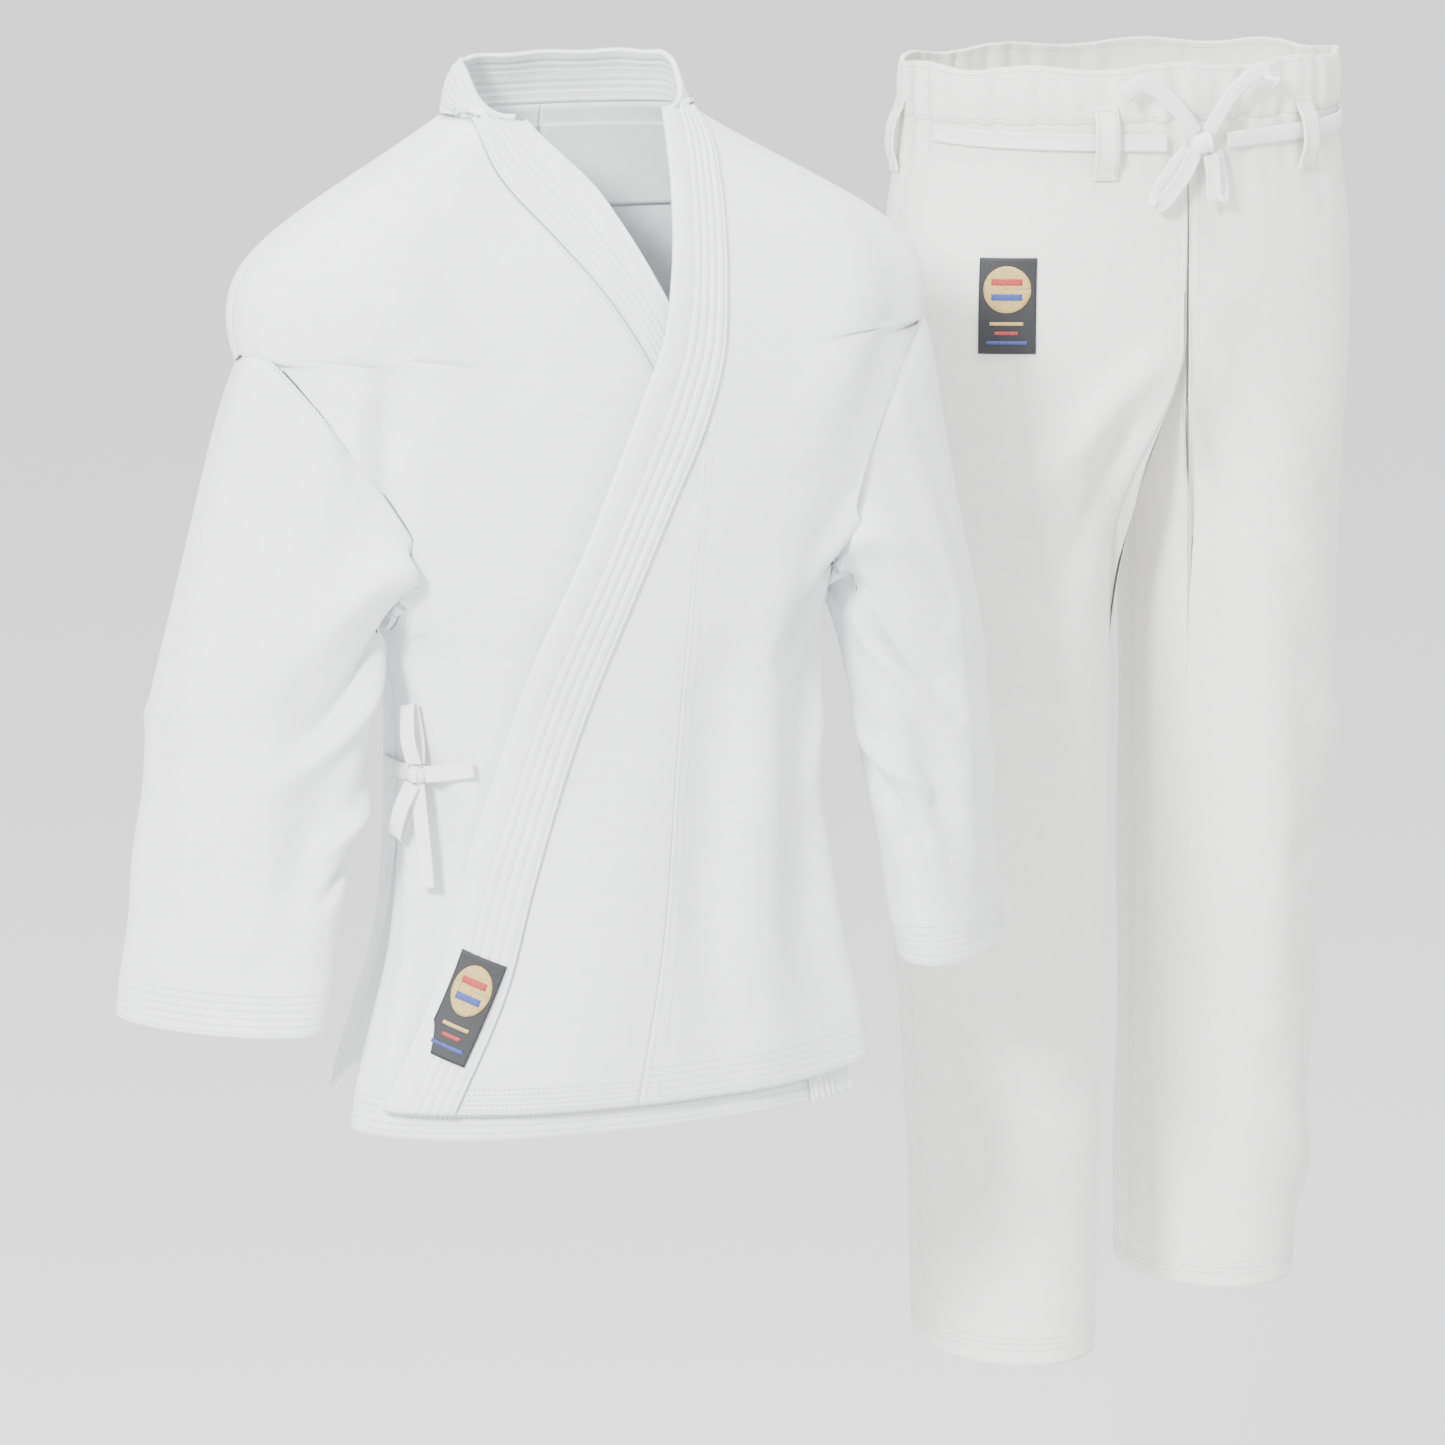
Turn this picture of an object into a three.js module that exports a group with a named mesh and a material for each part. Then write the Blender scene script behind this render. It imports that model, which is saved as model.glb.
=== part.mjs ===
import * as THREE from 'three';

// Martial arts uniform: a wrap-over jacket and drawstring trousers of heavy cotton canvas, both
// standing as if worn. Millimetres, +Z up, the wearer faces -Y, the wearer's left is +X. The origin
// is the middle of the neck at the level where the shoulder seams reach the collar.

// ---- Driving dimensions -------------------------------------------------------------------------
const CLOTH = 3; // thickness of each panel solid (two plies with their seam turnings)
const GAP = 0.4; // clearance between pieces sewn edge to edge or laid face to face
const TURN_GAP = 2.2; // clearance at a cut surface that another piece turns past
const LAYER_GAP = 1.3; // clearance between curved pieces laid face to face

const NECK_HALF_WIDTH = 88; // collar seam at the shoulder, from the middle
const SHOULDER_HALF_WIDTH = 264; // widest place of the dropped shoulder
const SHOULDER_DROP = 112; // neck to the shoulder's widest place, downwards
const CHEST_HALF_WIDTH = 171; // under the arms
const WAIST_HALF_WIDTH = 160;
const HEM_HALF_WIDTH = 208;
const JACKET_DROP = 718; // neck level to the hem of the front that lies on top
const UNDER_FRONT_EXTRA = 20; // how much lower the under front ends
const VENT_TOP = 515; // neck level down to the top of the side vents
const COLLAR_RISE = 38; // height of the collar band behind the neck
const LAPEL_THICK = 4.5;
const UNDER_DEPTH = 13; // how far the under front lies inside the front on top
const HEM_FACING = 28;
const CUFF_FACING = 42;

const SHOULDER_PIVOT_Y = -20; // axis of the arm's swing, along X
const SHOULDER_PIVOT_Z = -130;
const SLEEVE_DROP = 655; // neck level to the cuff edge
const CUFF_CENTRE_X = 300;
const CUFF_CENTRE_Y = -45;
const CUFF_LONG_RADIUS = 84;
const CUFF_SHORT_RADIUS = 38;
const SLEEVE_LONG_RADIUS = 90; // below the armhole
const SLEEVE_SHORT_RADIUS = 50;

const BADGE_WIDTH = 45;
const BADGE_HEIGHT = 76;
const BADGE_THICK = 1.6;
const TIE_WIDTH = 12;
const TIE_THICK = 1.6;

const TROUSERS_X = 572; // the trousers stand beside the jacket
const TROUSERS_Y = 200;
const TROUSERS_TOP = -4; // their waist edge against the neck level
const TROUSERS_LENGTH = 1044; // waist edge to the lower leg hem
const TROUSER_WAIST_HALF = 186;
const HIP_HALF_WIDTH = 197;
const HIP_HALF_DEPTH = 116;
const CASING_HEIGHT = 44;
const HIP_AXIS_DROP = 108; // waist edge to the axis of the leg's swing, along X
const HIP_CUT_RADIUS = 150; // round seam between seat and legs, about that axis
const LEG_HEM_HALF_WIDTH = 70;
const LEG_HEM_HALF_DEPTH = 92;
const LEG_STRIDE = 42; // right leg this far forward at the hem, left leg as far back
const LEG_SPREAD = 117; // leg centre from the middle at the hem
const CORD_WIDTH = 13;
const CORD_THICK = 2;
const BELT_LOOP_WIDTH = 20;
const BELT_LOOP_HEIGHT = 57;

// ---- Colours ------------------------------------------------------------------------------------
const canvasWhite = { color: 0xf1f2f3, roughness: 0.9, metalness: 0 };
const canvasWarm = { color: 0xf0efec, roughness: 0.9, metalness: 0 };
const tapeWhite = { color: 0xf6f6f5, roughness: 0.85, metalness: 0 };
const badgeBlack = { color: 0x17171b, roughness: 0.6, metalness: 0 };

const uniform = new THREE.Group();
const jacket = new THREE.Group();
const trousers = new THREE.Group();
trousers.position.set(TROUSERS_X, TROUSERS_Y, TROUSERS_TOP);
uniform.add(jacket, trousers);

// ---- Helpers ------------------------------------------------------------------------------------
const lerp = THREE.MathUtils.lerp;
const smooth = THREE.MathUtils.smoothstep;
const clamp = THREE.MathUtils.clamp;
const rad = THREE.MathUtils.degToRad;
const vec = (x, y, z) => new THREE.Vector3(x, y, z);

function addMesh(parent, name, geometry, look) {
  const mesh = new THREE.Mesh(geometry, new THREE.MeshStandardMaterial(look));
  mesh.name = name;
  parent.add(mesh);
}

// Smooth value through [position, value] knots, positions rising.
function throughKnots(knots, at) {
  const curve = new THREE.SplineCurve(knots.map(([p, v]) => new THREE.Vector2(p, v)));
  let low = 0;
  let high = 1;
  for (let step = 0; step < 30; step += 1) {
    const middle = (low + high) / 2;
    if (curve.getPoint(middle).x < at) low = middle;
    else high = middle;
  }
  return curve.getPoint(low).y;
}

// Bisection: the value between low and high where test turns from false to true.
function firstTrue(test, low, high) {
  for (let step = 0; step < 34; step += 1) {
    const middle = (low + high) / 2;
    if (test(middle)) high = middle;
    else low = middle;
  }
  return high;
}

// A closed solid from a sheet surface(u, v), u and v from 0 to 1. Its faces lie `outer` and `inner`
// millimetres along the surface normal. `ring` closes it round u, and `keep` may shift a point that
// would cross a turning seam.
function sheetSolid(surface, across, along, { outer = 0, inner = -CLOTH, ring = false, keep } = {}) {
  const columns = ring ? across : across + 1;
  const rows = along + 1;
  const nudge = 1e-3;
  const positions = [];
  for (const offset of [outer, inner]) {
    for (let j = 0; j < rows; j += 1) {
      for (let i = 0; i < columns; i += 1) {
        const u = i / across;
        const v = j / along;
        const u0 = ring ? u - nudge : Math.max(u - nudge, 0);
        const u1 = ring ? u + nudge : Math.min(u + nudge, 1);
        const wrap = (value) => (ring ? (value + 1) % 1 : value);
        const du = surface(wrap(u1), v).sub(surface(wrap(u0), v));
        const dv = surface(u, Math.min(v + nudge, 1)).sub(surface(u, Math.max(v - nudge, 0)));
        const normal = du.cross(dv).normalize();
        let point = surface(u, v).addScaledVector(normal, offset);
        if (keep) point = keep(point);
        positions.push(point.x, point.y, point.z);
      }
    }
  }
  const layer = rows * columns;
  const at = (side, i, j) => side * layer + j * columns + (i % columns);
  const faces = [];
  const quad = (a, b, c, d) => faces.push(a, b, c, a, c, d);
  for (let j = 0; j < along; j += 1) {
    for (let i = 0; i < across; i += 1) {
      quad(at(0, i, j), at(0, i + 1, j), at(0, i + 1, j + 1), at(0, i, j + 1));
      quad(at(1, i, j), at(1, i, j + 1), at(1, i + 1, j + 1), at(1, i + 1, j));
    }
  }
  for (let i = 0; i < across; i += 1) {
    quad(at(0, i, 0), at(1, i, 0), at(1, i + 1, 0), at(0, i + 1, 0));
    quad(at(0, i, along), at(0, i + 1, along), at(1, i + 1, along), at(1, i, along));
  }
  if (!ring) {
    for (let j = 0; j < along; j += 1) {
      quad(at(0, 0, j), at(0, 0, j + 1), at(1, 0, j + 1), at(1, 0, j));
      quad(at(0, across, j), at(1, across, j), at(1, across, j + 1), at(0, across, j + 1));
    }
  }
  const geometry = new THREE.BufferGeometry();
  geometry.setAttribute('position', new THREE.Float32BufferAttribute(positions, 3));
  geometry.setIndex(faces);
  return geometry;
}

// A flat tape of the given width and thickness along points, its width along `side`.
function tapeSolid(points, side, width, thick, steps) {
  const curve = new THREE.CatmullRomCurve3(points);
  const across = side.clone().normalize();
  const surface = (u, v) => curve.getPoint(v).addScaledVector(across, (u - 0.5) * width);
  return sheetSolid(surface, 1, steps, { outer: thick / 2, inner: -thick / 2 });
}

// ---- Jacket body ---------------------------------------------------------------------------------
// A torso ring at each height: half width, half depth and middle, all by drop below the neck level.
const bodyWidthKnots = [
  [-20, NECK_HALF_WIDTH - 28], [0, NECK_HALF_WIDTH], [SHOULDER_DROP, SHOULDER_HALF_WIDTH],
  [200, SHOULDER_HALF_WIDTH - 2], [262, 238], [320, 198], [378, CHEST_HALF_WIDTH],
  [480, WAIST_HALF_WIDTH], [600, WAIST_HALF_WIDTH + 12], [JACKET_DROP, HEM_HALF_WIDTH],
  [JACKET_DROP + 40, HEM_HALF_WIDTH + 8],
];
const bodyDepthKnots = [
  [-20, 42], [0, 48], [121, 88], [207, 104], [285, 110], [480, 111], [600, 116], [820, 125],
];
const bodyMiddleKnots = [
  [-20, 0], [0, 0], [121, -22], [207, -32], [285, -42], [480, -50], [600, -52], [820, -58],
];
const halfWidthAt = (z) => throughKnots(bodyWidthKnots, -z);
const SQUARENESS = 0.8; // under 1 flattens the front and back of each ring

// Angle 0 is the front, 90 the wearer's left side, 180 the back.
function torso(angle, z) {
  const depth = throughKnots(bodyDepthKnots, -z);
  const cos = Math.cos(rad(angle));
  const y = throughKnots(bodyMiddleKnots, -z) - Math.sign(cos) * depth * Math.abs(cos) ** SQUARENESS;
  return vec(halfWidthAt(z) * Math.sin(rad(angle)), y, z);
}
const angleAtX = (x, z) => THREE.MathUtils.radToDeg(Math.asin(clamp(x / halfWidthAt(z), -1, 1)));

// The sleeve turns about the X axis through the shoulder pivot, so its seam lies on a round surface
// about that axis: a cone over the shoulder that runs into an upright plane under the arm.
const SEAM_CONE_TIP = 297;
const SEAM_CONE_SLOPE = 0.65;
const SEAM_PLANE_X = CHEST_HALF_WIDTH + 1.5;
const SEAM_CORNER_EASE = 4; // extra clearance of the body where cone and plane meet
const pivotReach = ({ y, z }) => Math.hypot(y - SHOULDER_PIVOT_Y, z - SHOULDER_PIVOT_Z);
const seamX = (p) => Math.max(SEAM_PLANE_X, SEAM_CONE_TIP - SEAM_CONE_SLOPE * pivotReach(p));
const cornerReach = (SEAM_CONE_TIP - SEAM_PLANE_X) / SEAM_CONE_SLOPE;
const bodySideOfSeam = (point) => {
  const nearCorner = Math.exp(-(((pivotReach(point) - cornerReach) / 22) ** 2));
  const limit = seamX(point) - TURN_GAP / 2 - SEAM_CORNER_EASE * nearCorner;
  return point.z < -130 && point.z > -400 ? point.setX(clamp(point.x, -limit, limit)) : point;
};
const SEAM_HALF_ANGLE = 0.03; // half the gap of a seam along the side, in degrees
const SEAM_HALF_GAP = 0.07; // half the gap of a seam on the front or back, in degrees

// Where a front or back panel ends sideways: the shoulder or side seam, the armhole or the vent.
function sideEdge(z, ventOpening, toBack) {
  const fold = toBack ? 1 : -1;
  const start = 90 + fold * SEAM_HALF_ANGLE;
  if (-z > VENT_TOP) return start + fold * ventOpening * ((-z - VENT_TOP) / (JACKET_DROP - VENT_TOP));
  const past = (angle) => {
    const point = torso(angle, z);
    return point.x > seamX(point) - TURN_GAP / 2;
  };
  if (-z < 120 || !past(start)) return start;
  return toBack ? firstTrue((a) => !past(a), 90, 178) : firstTrue(past, 2, 90);
}

const TOP_DROP = 6; // the panels' top edge, at the collar seam
const LAPEL_TOP_GAP = 2; // lapel tops below the panels' top edge, clear of the collar
const FRONT_VENT = 5;
const BACK_VENT = 3;
// Edges of the lapels by drop: their seam to the front panels, and their free edge.
const overSeamKnots = [
  [0, 88], [24, 95], [56, 92], [124, 80], [178, 68], [226, 47], [285, 14], [383, -36], [480, -72],
  [553, -94], [623, -113], [JACKET_DROP, -155],
];
const overFreeKnots = [
  [0, 58], [60, 49], [121, 34], [159, 22], [207, -3], [285, -43], [373, -86], [478, -119],
  [529, -133], [607, -152], [JACKET_DROP, -194],
];
const underSeamKnots = [
  [0, -88], [34, -82], [83, -46], [134, -10], [185, 18], [285, 46], [480, 78], [600, 106], [820, 150],
];
const underFreeKnots = [
  [0, -58], [20, -38], [51, -8], [80, 8], [121, 26], [200, 60], [285, 92], [480, 124], [600, 146],
  [820, 190],
];
const overPanelKnots = [ // seam between the left front and its overlap panel
  [226, 46], [400, 21], [570, 6], [JACKET_DROP, -22],
];
const FLAP_TOP = 236; // the left front folds open below this drop
const FLAP_TOP_X = 50; // fold line across the left front, at its top and at the hem
const FLAP_HEM_X = 181;
const flapX = (z) => lerp(FLAP_TOP_X, FLAP_HEM_X, (-z - FLAP_TOP) / (JACKET_DROP - FLAP_TOP));

function bodyPanel(name, from, to, top, bottom, across, along, options = {}) {
  const sunk = options.sunk ?? (() => 0);
  const surface = (u, v) => {
    const z = -lerp(top, bottom, v);
    const angle = lerp(to(z), from(z), u);
    const point = torso(angle, z);
    const middle = vec(0, throughKnots(bodyMiddleKnots, -z), z);
    return point.addScaledVector(middle.sub(point).normalize(), sunk(angle));
  };
  const keep = top < VENT_TOP ? bodySideOfSeam : undefined;
  addMesh(jacket, name, sheetSolid(surface, across, along, { keep, ...options }), canvasWhite);
}
const edge = (knots, shift = 0) => (z) => angleAtX(throughKnots(knots, -z) + shift, z);
const mirror = (side) => (z) => -side(z);
const frontSide = (z) => sideEdge(z, FRONT_VENT, false);
const backSide = (z) => sideEdge(z, BACK_VENT, true);
const backMiddle = () => 180 - SEAM_HALF_GAP;
const flapEdge = (shift) => (z) => angleAtX(flapX(z) + shift, z);
const sinkUnder = (angle) => UNDER_DEPTH * smooth(angle, -89, -62);
const FACING = { outer: -CLOTH - LAYER_GAP, inner: -2 * CLOTH - LAYER_GAP };
const underFacing = { ...FACING, sunk: sinkUnder };
const UNDER_HEM = JACKET_DROP + UNDER_FRONT_EXTRA;
const FACING_IN = 2; // facings stop this far short of the hem's own edge

bodyPanel('left_back_panel', backSide, backMiddle, TOP_DROP, JACKET_DROP, 7, 19);
bodyPanel('right_back_panel', mirror(backMiddle), mirror(backSide), TOP_DROP, JACKET_DROP, 7, 19);
bodyPanel('right_front_panel', mirror(frontSide), edge(underSeamKnots, -2 * GAP), TOP_DROP, UNDER_HEM,
  8, 19, { sunk: sinkUnder });
bodyPanel('under_lapel', edge(underSeamKnots), edge(underFreeKnots), TOP_DROP + LAPEL_TOP_GAP, UNDER_HEM,
  2, 19, { sunk: sinkUnder, outer: 0.6, inner: -CLOTH });
const chestEdge = (z) => (-z > FLAP_TOP ? flapEdge(GAP)(z)
  : Math.max(edge(overSeamKnots, 4 * GAP)(z), flapEdge(GAP)(z)));
bodyPanel('left_chest_panel', chestEdge, frontSide, TOP_DROP, JACKET_DROP, 6, 19);
bodyPanel('left_front_panel', edge(overPanelKnots, GAP), flapEdge(-GAP), FLAP_TOP + 1.5,
  JACKET_DROP, 5, 13);
bodyPanel('left_overlap_panel', edge(overSeamKnots, GAP), edge(overPanelKnots), FLAP_TOP + 1.5,
  JACKET_DROP, 3, 13);
bodyPanel('over_lapel_top', edge(overFreeKnots), edge(overSeamKnots), TOP_DROP + LAPEL_TOP_GAP, FLAP_TOP,
  2, 7, { outer: LAPEL_THICK - CLOTH });
bodyPanel('over_lapel', edge(overFreeKnots), edge(overSeamKnots), FLAP_TOP + 1.5, JACKET_DROP,
  2, 13, { outer: LAPEL_THICK - CLOTH });

const hemTop = JACKET_DROP - HEM_FACING;
const inset = (side, degrees) => (z) => side(z) + degrees;
bodyPanel('left_back_hem_facing', inset(backSide, 1), inset(backMiddle, -1), hemTop,
  JACKET_DROP - FACING_IN, 7, 1, FACING);
bodyPanel('right_back_hem_facing', mirror(inset(backMiddle, -1)), mirror(inset(backSide, 1)), hemTop,
  JACKET_DROP - FACING_IN, 7, 1, FACING);
bodyPanel('right_front_hem_facing', inset(mirror(frontSide), 1), edge(underSeamKnots, -2),
  UNDER_HEM - HEM_FACING, UNDER_HEM - FACING_IN, 8, 1, underFacing);
bodyPanel('left_front_hem_facing', edge(overSeamKnots, 2), flapEdge(-2), hemTop,
  JACKET_DROP - FACING_IN, 7, 1, FACING);
bodyPanel('left_vent_patch', inset(backSide, 1), inset(backSide, 13), VENT_TOP - 30,
  VENT_TOP + 30, 2, 3, FACING);
bodyPanel('right_vent_patch', mirror(inset(backSide, 13)), mirror(inset(backSide, 1)), VENT_TOP - 30,
  VENT_TOP + 30, 2, 3, FACING);
const liningBottom = 84;
const LINING = { outer: -CLOTH - 2, inner: -2 * CLOTH - 2 };
bodyPanel('left_shoulder_lining', inset(backSide, 25.7), inset(backMiddle, -1), TOP_DROP + 14,
  liningBottom, 5, 2, LINING);
bodyPanel('right_shoulder_lining', mirror(inset(backMiddle, -1)), mirror(inset(backSide, 25.7)),
  TOP_DROP + 14, liningBottom, 5, 2, LINING);

// The collar stands on the same ring as the panels' top edge and joins the tops of both lapels.
const COLLAR_LEAN = 0.84; // free edge against the seam ring, seen from above
{
  const seamZ = -(TOP_DROP - LAYER_GAP);
  const startSeam = angleAtX(NECK_HALF_WIDTH + 1, seamZ);
  const startFree = angleAtX(58, seamZ);
  const surface = (u, v) => {
    const half = Math.abs(u - 0.5) * 2;
    const side = Math.sign(0.5 - u) || 1;
    const seam = torso(side * lerp(180, startSeam, half), seamZ);
    const free = torso(side * lerp(180, startFree, half), seamZ);
    const lift = smooth(1 - half, 0, 0.45);
    free.set(free.x * lerp(1, COLLAR_LEAN, lift), free.y * lerp(1, COLLAR_LEAN, lift),
      seamZ + COLLAR_RISE * lift + 6 * (1 - lift) * Math.sin(Math.PI * Math.min(v, 1)) * lift);
    return seam.lerp(free, v);
  };
  const wound = (u, v) => surface(1 - u, 1 - v);
  addMesh(jacket, 'back_collar', sheetSolid(wound, 20, 2, { outer: LAPEL_THICK, inner: 0 }),
    canvasWhite);
}

// ---- Sleeves -------------------------------------------------------------------------------------
const ARMHOLE_MIDDLE = vec(0, -40, -262);
const SLEEVE_TOP_X = 243; // middle of the sleeve beside the chest
const SLEEVE_TOP_Y = -38;
const SLEEVE_TOP_DROP = 300;
const longAxis = vec(-0.643, -0.766, 0); // the wide direction of the left sleeve, seen from above
const shortAxis = vec(0.766, -0.643, 0);
const armholeLoop = new Map();

// The armhole in the direction psi round its middle: 0 is up, 90 the front, 180 below.
function armhole(psi) {
  const key = Math.round(psi * 1000);
  if (!armholeLoop.has(key)) {
    const at = (radius) => {
      const point = vec(0, ARMHOLE_MIDDLE.y - radius * Math.sin(rad(psi)),
        ARMHOLE_MIDDLE.z + radius * Math.cos(rad(psi)));
      return point.setX(seamX(point) + TURN_GAP / 2);
    };
    const outside = (radius) => {
      const { x, y, z } = at(radius);
      const off = Math.abs(y - throughKnots(bodyMiddleKnots, -z)) / throughKnots(bodyDepthKnots, -z);
      return (x / halfWidthAt(z)) ** 2 + off ** (2 / SQUARENESS) > 1;
    };
    armholeLoop.set(key, at(firstTrue(outside, 0, 190)));
  }
  return armholeLoop.get(key).clone();
}

function sleevePoint(psi, v) {
  const direction = vec(Math.cos(rad(psi)), -Math.sin(rad(psi)), 0);
  const long = lerp(SLEEVE_LONG_RADIUS, CUFF_LONG_RADIUS, v);
  const short = lerp(SLEEVE_SHORT_RADIUS, CUFF_SHORT_RADIUS, v);
  const section = vec(lerp(SLEEVE_TOP_X, CUFF_CENTRE_X, v), lerp(SLEEVE_TOP_Y, CUFF_CENTRE_Y, v),
    -lerp(SLEEVE_TOP_DROP, SLEEVE_DROP, v))
    .addScaledVector(longAxis, long * direction.dot(longAxis))
    .addScaledVector(shortAxis, short * direction.dot(shortAxis));
  return armhole(psi).lerp(section, smooth(v, 0, 0.34));
}
const sleeveSideOfSeam = (side) => (point) => {
  const limit = seamX(point) + TURN_GAP / 2;
  return point.setX(side * Math.max(side * point.x, limit));
};

const GUSSET_HALF_ANGLE = 36;
const GUSSET_LENGTH = 0.24; // of the sleeve's length
function gussetLength(psi) {
  const off = Math.abs(((psi + 360) % 360) - 180);
  return off < GUSSET_HALF_ANGLE ? GUSSET_LENGTH * (1 - off / (GUSSET_HALF_ANGLE + 3)) : 0;
}
const CUFF_SHARE = CUFF_FACING / (SLEEVE_DROP - SLEEVE_TOP_DROP);
const GUSSET_SEAM = 0.0155;

for (const [word, side] of [['left', 1], ['right', -1]]) {
  const place = (point) => vec(side * point.x, point.y, point.z);
  const turn = (psi) => (side > 0 ? psi : -psi + 360);
  const sleeve = (u, v) => {
    const psi = turn(u * 360);
    return place(sleevePoint(psi, lerp(gussetLength(psi), 1, v)));
  };
  const gusset = (u, v) => {
    const psi = turn(lerp(180 - GUSSET_HALF_ANGLE, 180 + GUSSET_HALF_ANGLE, u));
    return place(sleevePoint(psi, lerp(0, gussetLength(psi) - GUSSET_SEAM, v)));
  };
  const facing = (u, v) => place(sleevePoint(turn(u * 360), lerp(1 - CUFF_SHARE, 0.996, v)));
  const keep = sleeveSideOfSeam(side);
  addMesh(jacket, `${word}_sleeve`, sheetSolid(sleeve, 24, 10, { ring: true, keep }), canvasWhite);
  addMesh(jacket, `${word}_underarm_gusset`, sheetSolid(gusset, 6, 3, { keep }), canvasWhite);
  addMesh(jacket, `${word}_cuff_facing`, sheetSolid(facing, 24, 1, { ring: true, ...FACING }),
    canvasWhite);
}

// ---- Ties and badge of the jacket ----------------------------------------------------------------
const TIE_KNOT_DROP = 472; // the side tie's knot, by the over lapel's free edge
const knotAt = torso(-74, -TIE_KNOT_DROP).add(vec(-10, -9, 0));
const TIE_TAIL = 62;
const LOOP_LENGTH = 48;
const outward = vec(-0.8, -0.6, 0); // away from the body at the knot
const forward = vec(0.6, -0.8, 0);
const KNOT_SIZE = 11;
{
  const knot = new THREE.SphereGeometry(KNOT_SIZE / 2, 10, 8);
  knot.scale(1.15, 1.15, 1).translate(knotAt.x, knotAt.y, knotAt.z);
  addMesh(jacket, 'side_tie_knot', knot, tapeWhite);
  const reach = KNOT_SIZE * 0.575 + GAP;
  const bowLoop = (along, rise) => {
    const from = (a, b, c) => knotAt.clone().addScaledVector(along, a)
      .addScaledVector(outward, b).add(vec(0, 0, c));
    return [from(reach, -2, 0), from(LOOP_LENGTH * 0.5, -5, rise * 0.5),
      from(LOOP_LENGTH, -2, rise), from(LOOP_LENGTH * 1.02, 3, rise),
      from(LOOP_LENGTH * 0.55, 7, rise * 0.5), from(reach + 1, 2.5, 1)];
  };
  const upward = vec(0, 0, 1);
  const up = forward.clone().multiplyScalar(-0.12).add(vec(0, 0, 0.99));
  const down = forward.clone().multiplyScalar(-0.36).add(vec(0, 0, -0.93));
  const wide = forward.clone().multiplyScalar(1).addScaledVector(upward, 0.35);
  addMesh(jacket, 'side_tie_upper_loop', tapeSolid(bowLoop(up, 0), wide, TIE_WIDTH, TIE_THICK, 12),
    tapeWhite);
  addMesh(jacket, 'side_tie_lower_loop',
    tapeSolid(bowLoop(down, 0), vec(-0.5, 0.7, 0.5), TIE_WIDTH, TIE_THICK, 12), tapeWhite);
  const tail = (a, c) => [0, 0.5, 1].map((t) => knotAt.clone()
    .addScaledVector(forward, a * t).addScaledVector(outward, 2 * t * t)
    .add(vec(0, 0, c * t - reach - 0.3)));
  addMesh(jacket, 'side_tie_tail', tapeSolid(tail(9, -TIE_TAIL), forward, TIE_WIDTH, TIE_THICK, 8),
    tapeWhite);
  // The sewn length runs back along the body to the side seam; the other comes from the lapel.
  const onBody = (angle, drop, off) => {
    const point = torso(angle, -drop);
    return point.add(vec(point.x, point.y - throughKnots(bodyMiddleKnots, drop), 0).normalize()
      .multiplyScalar(off));
  };
  const sewn = [knotAt.clone().addScaledVector(forward, -reach - 1).add(vec(0, 0, 1.5)),
    onBody(-82, TIE_KNOT_DROP + 2, 7), onBody(-92, TIE_KNOT_DROP + 4, 3.4),
    onBody(-100, TIE_KNOT_DROP + 5, 1.9)];
  addMesh(jacket, 'side_tie', tapeSolid(sewn, vec(0, 0, 1), TIE_WIDTH, TIE_THICK, 10), tapeWhite);
  const lapelTie = [knotAt.clone().addScaledVector(forward, reach).add(vec(0, 0, 0.5)),
    onBody(-63, TIE_KNOT_DROP - 2, 8), onBody(-58, TIE_KNOT_DROP - 4, 4.6),
    onBody(-53, TIE_KNOT_DROP - 6, 4)];
  addMesh(jacket, 'lapel_tie', tapeSolid(lapelTie, vec(0, 0, 1), TIE_WIDTH, TIE_THICK, 8), tapeWhite);
}
const INNER_TIE_DROP = 470;
for (const [name, angle, lean] of [['left_inner_tie', 82, 1], ['right_inner_tie', 40, -1]]) {
  const depth = name === 'left_inner_tie' ? CLOTH + 2.4 : UNDER_DEPTH + CLOTH + 3.8;
  const hang = [0, 0.35, 0.7, 1].map((t) => {
    const point = torso(angle, -INNER_TIE_DROP - 150 * t);
    const start = torso(angle, -INNER_TIE_DROP);
    const centre = vec(0, throughKnots(bodyMiddleKnots, INNER_TIE_DROP), point.z);
    const inwards = centre.sub(vec(start.x, start.y, point.z)).normalize();
    return vec(start.x, start.y, point.z).addScaledVector(inwards, depth + 9 * t);
  });
  const across = vec(Math.cos(rad(angle)), Math.sin(rad(angle)), 0);
  addMesh(jacket, name, tapeSolid(hang, across, TIE_WIDTH, TIE_THICK, 8), tapeWhite);
}

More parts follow.
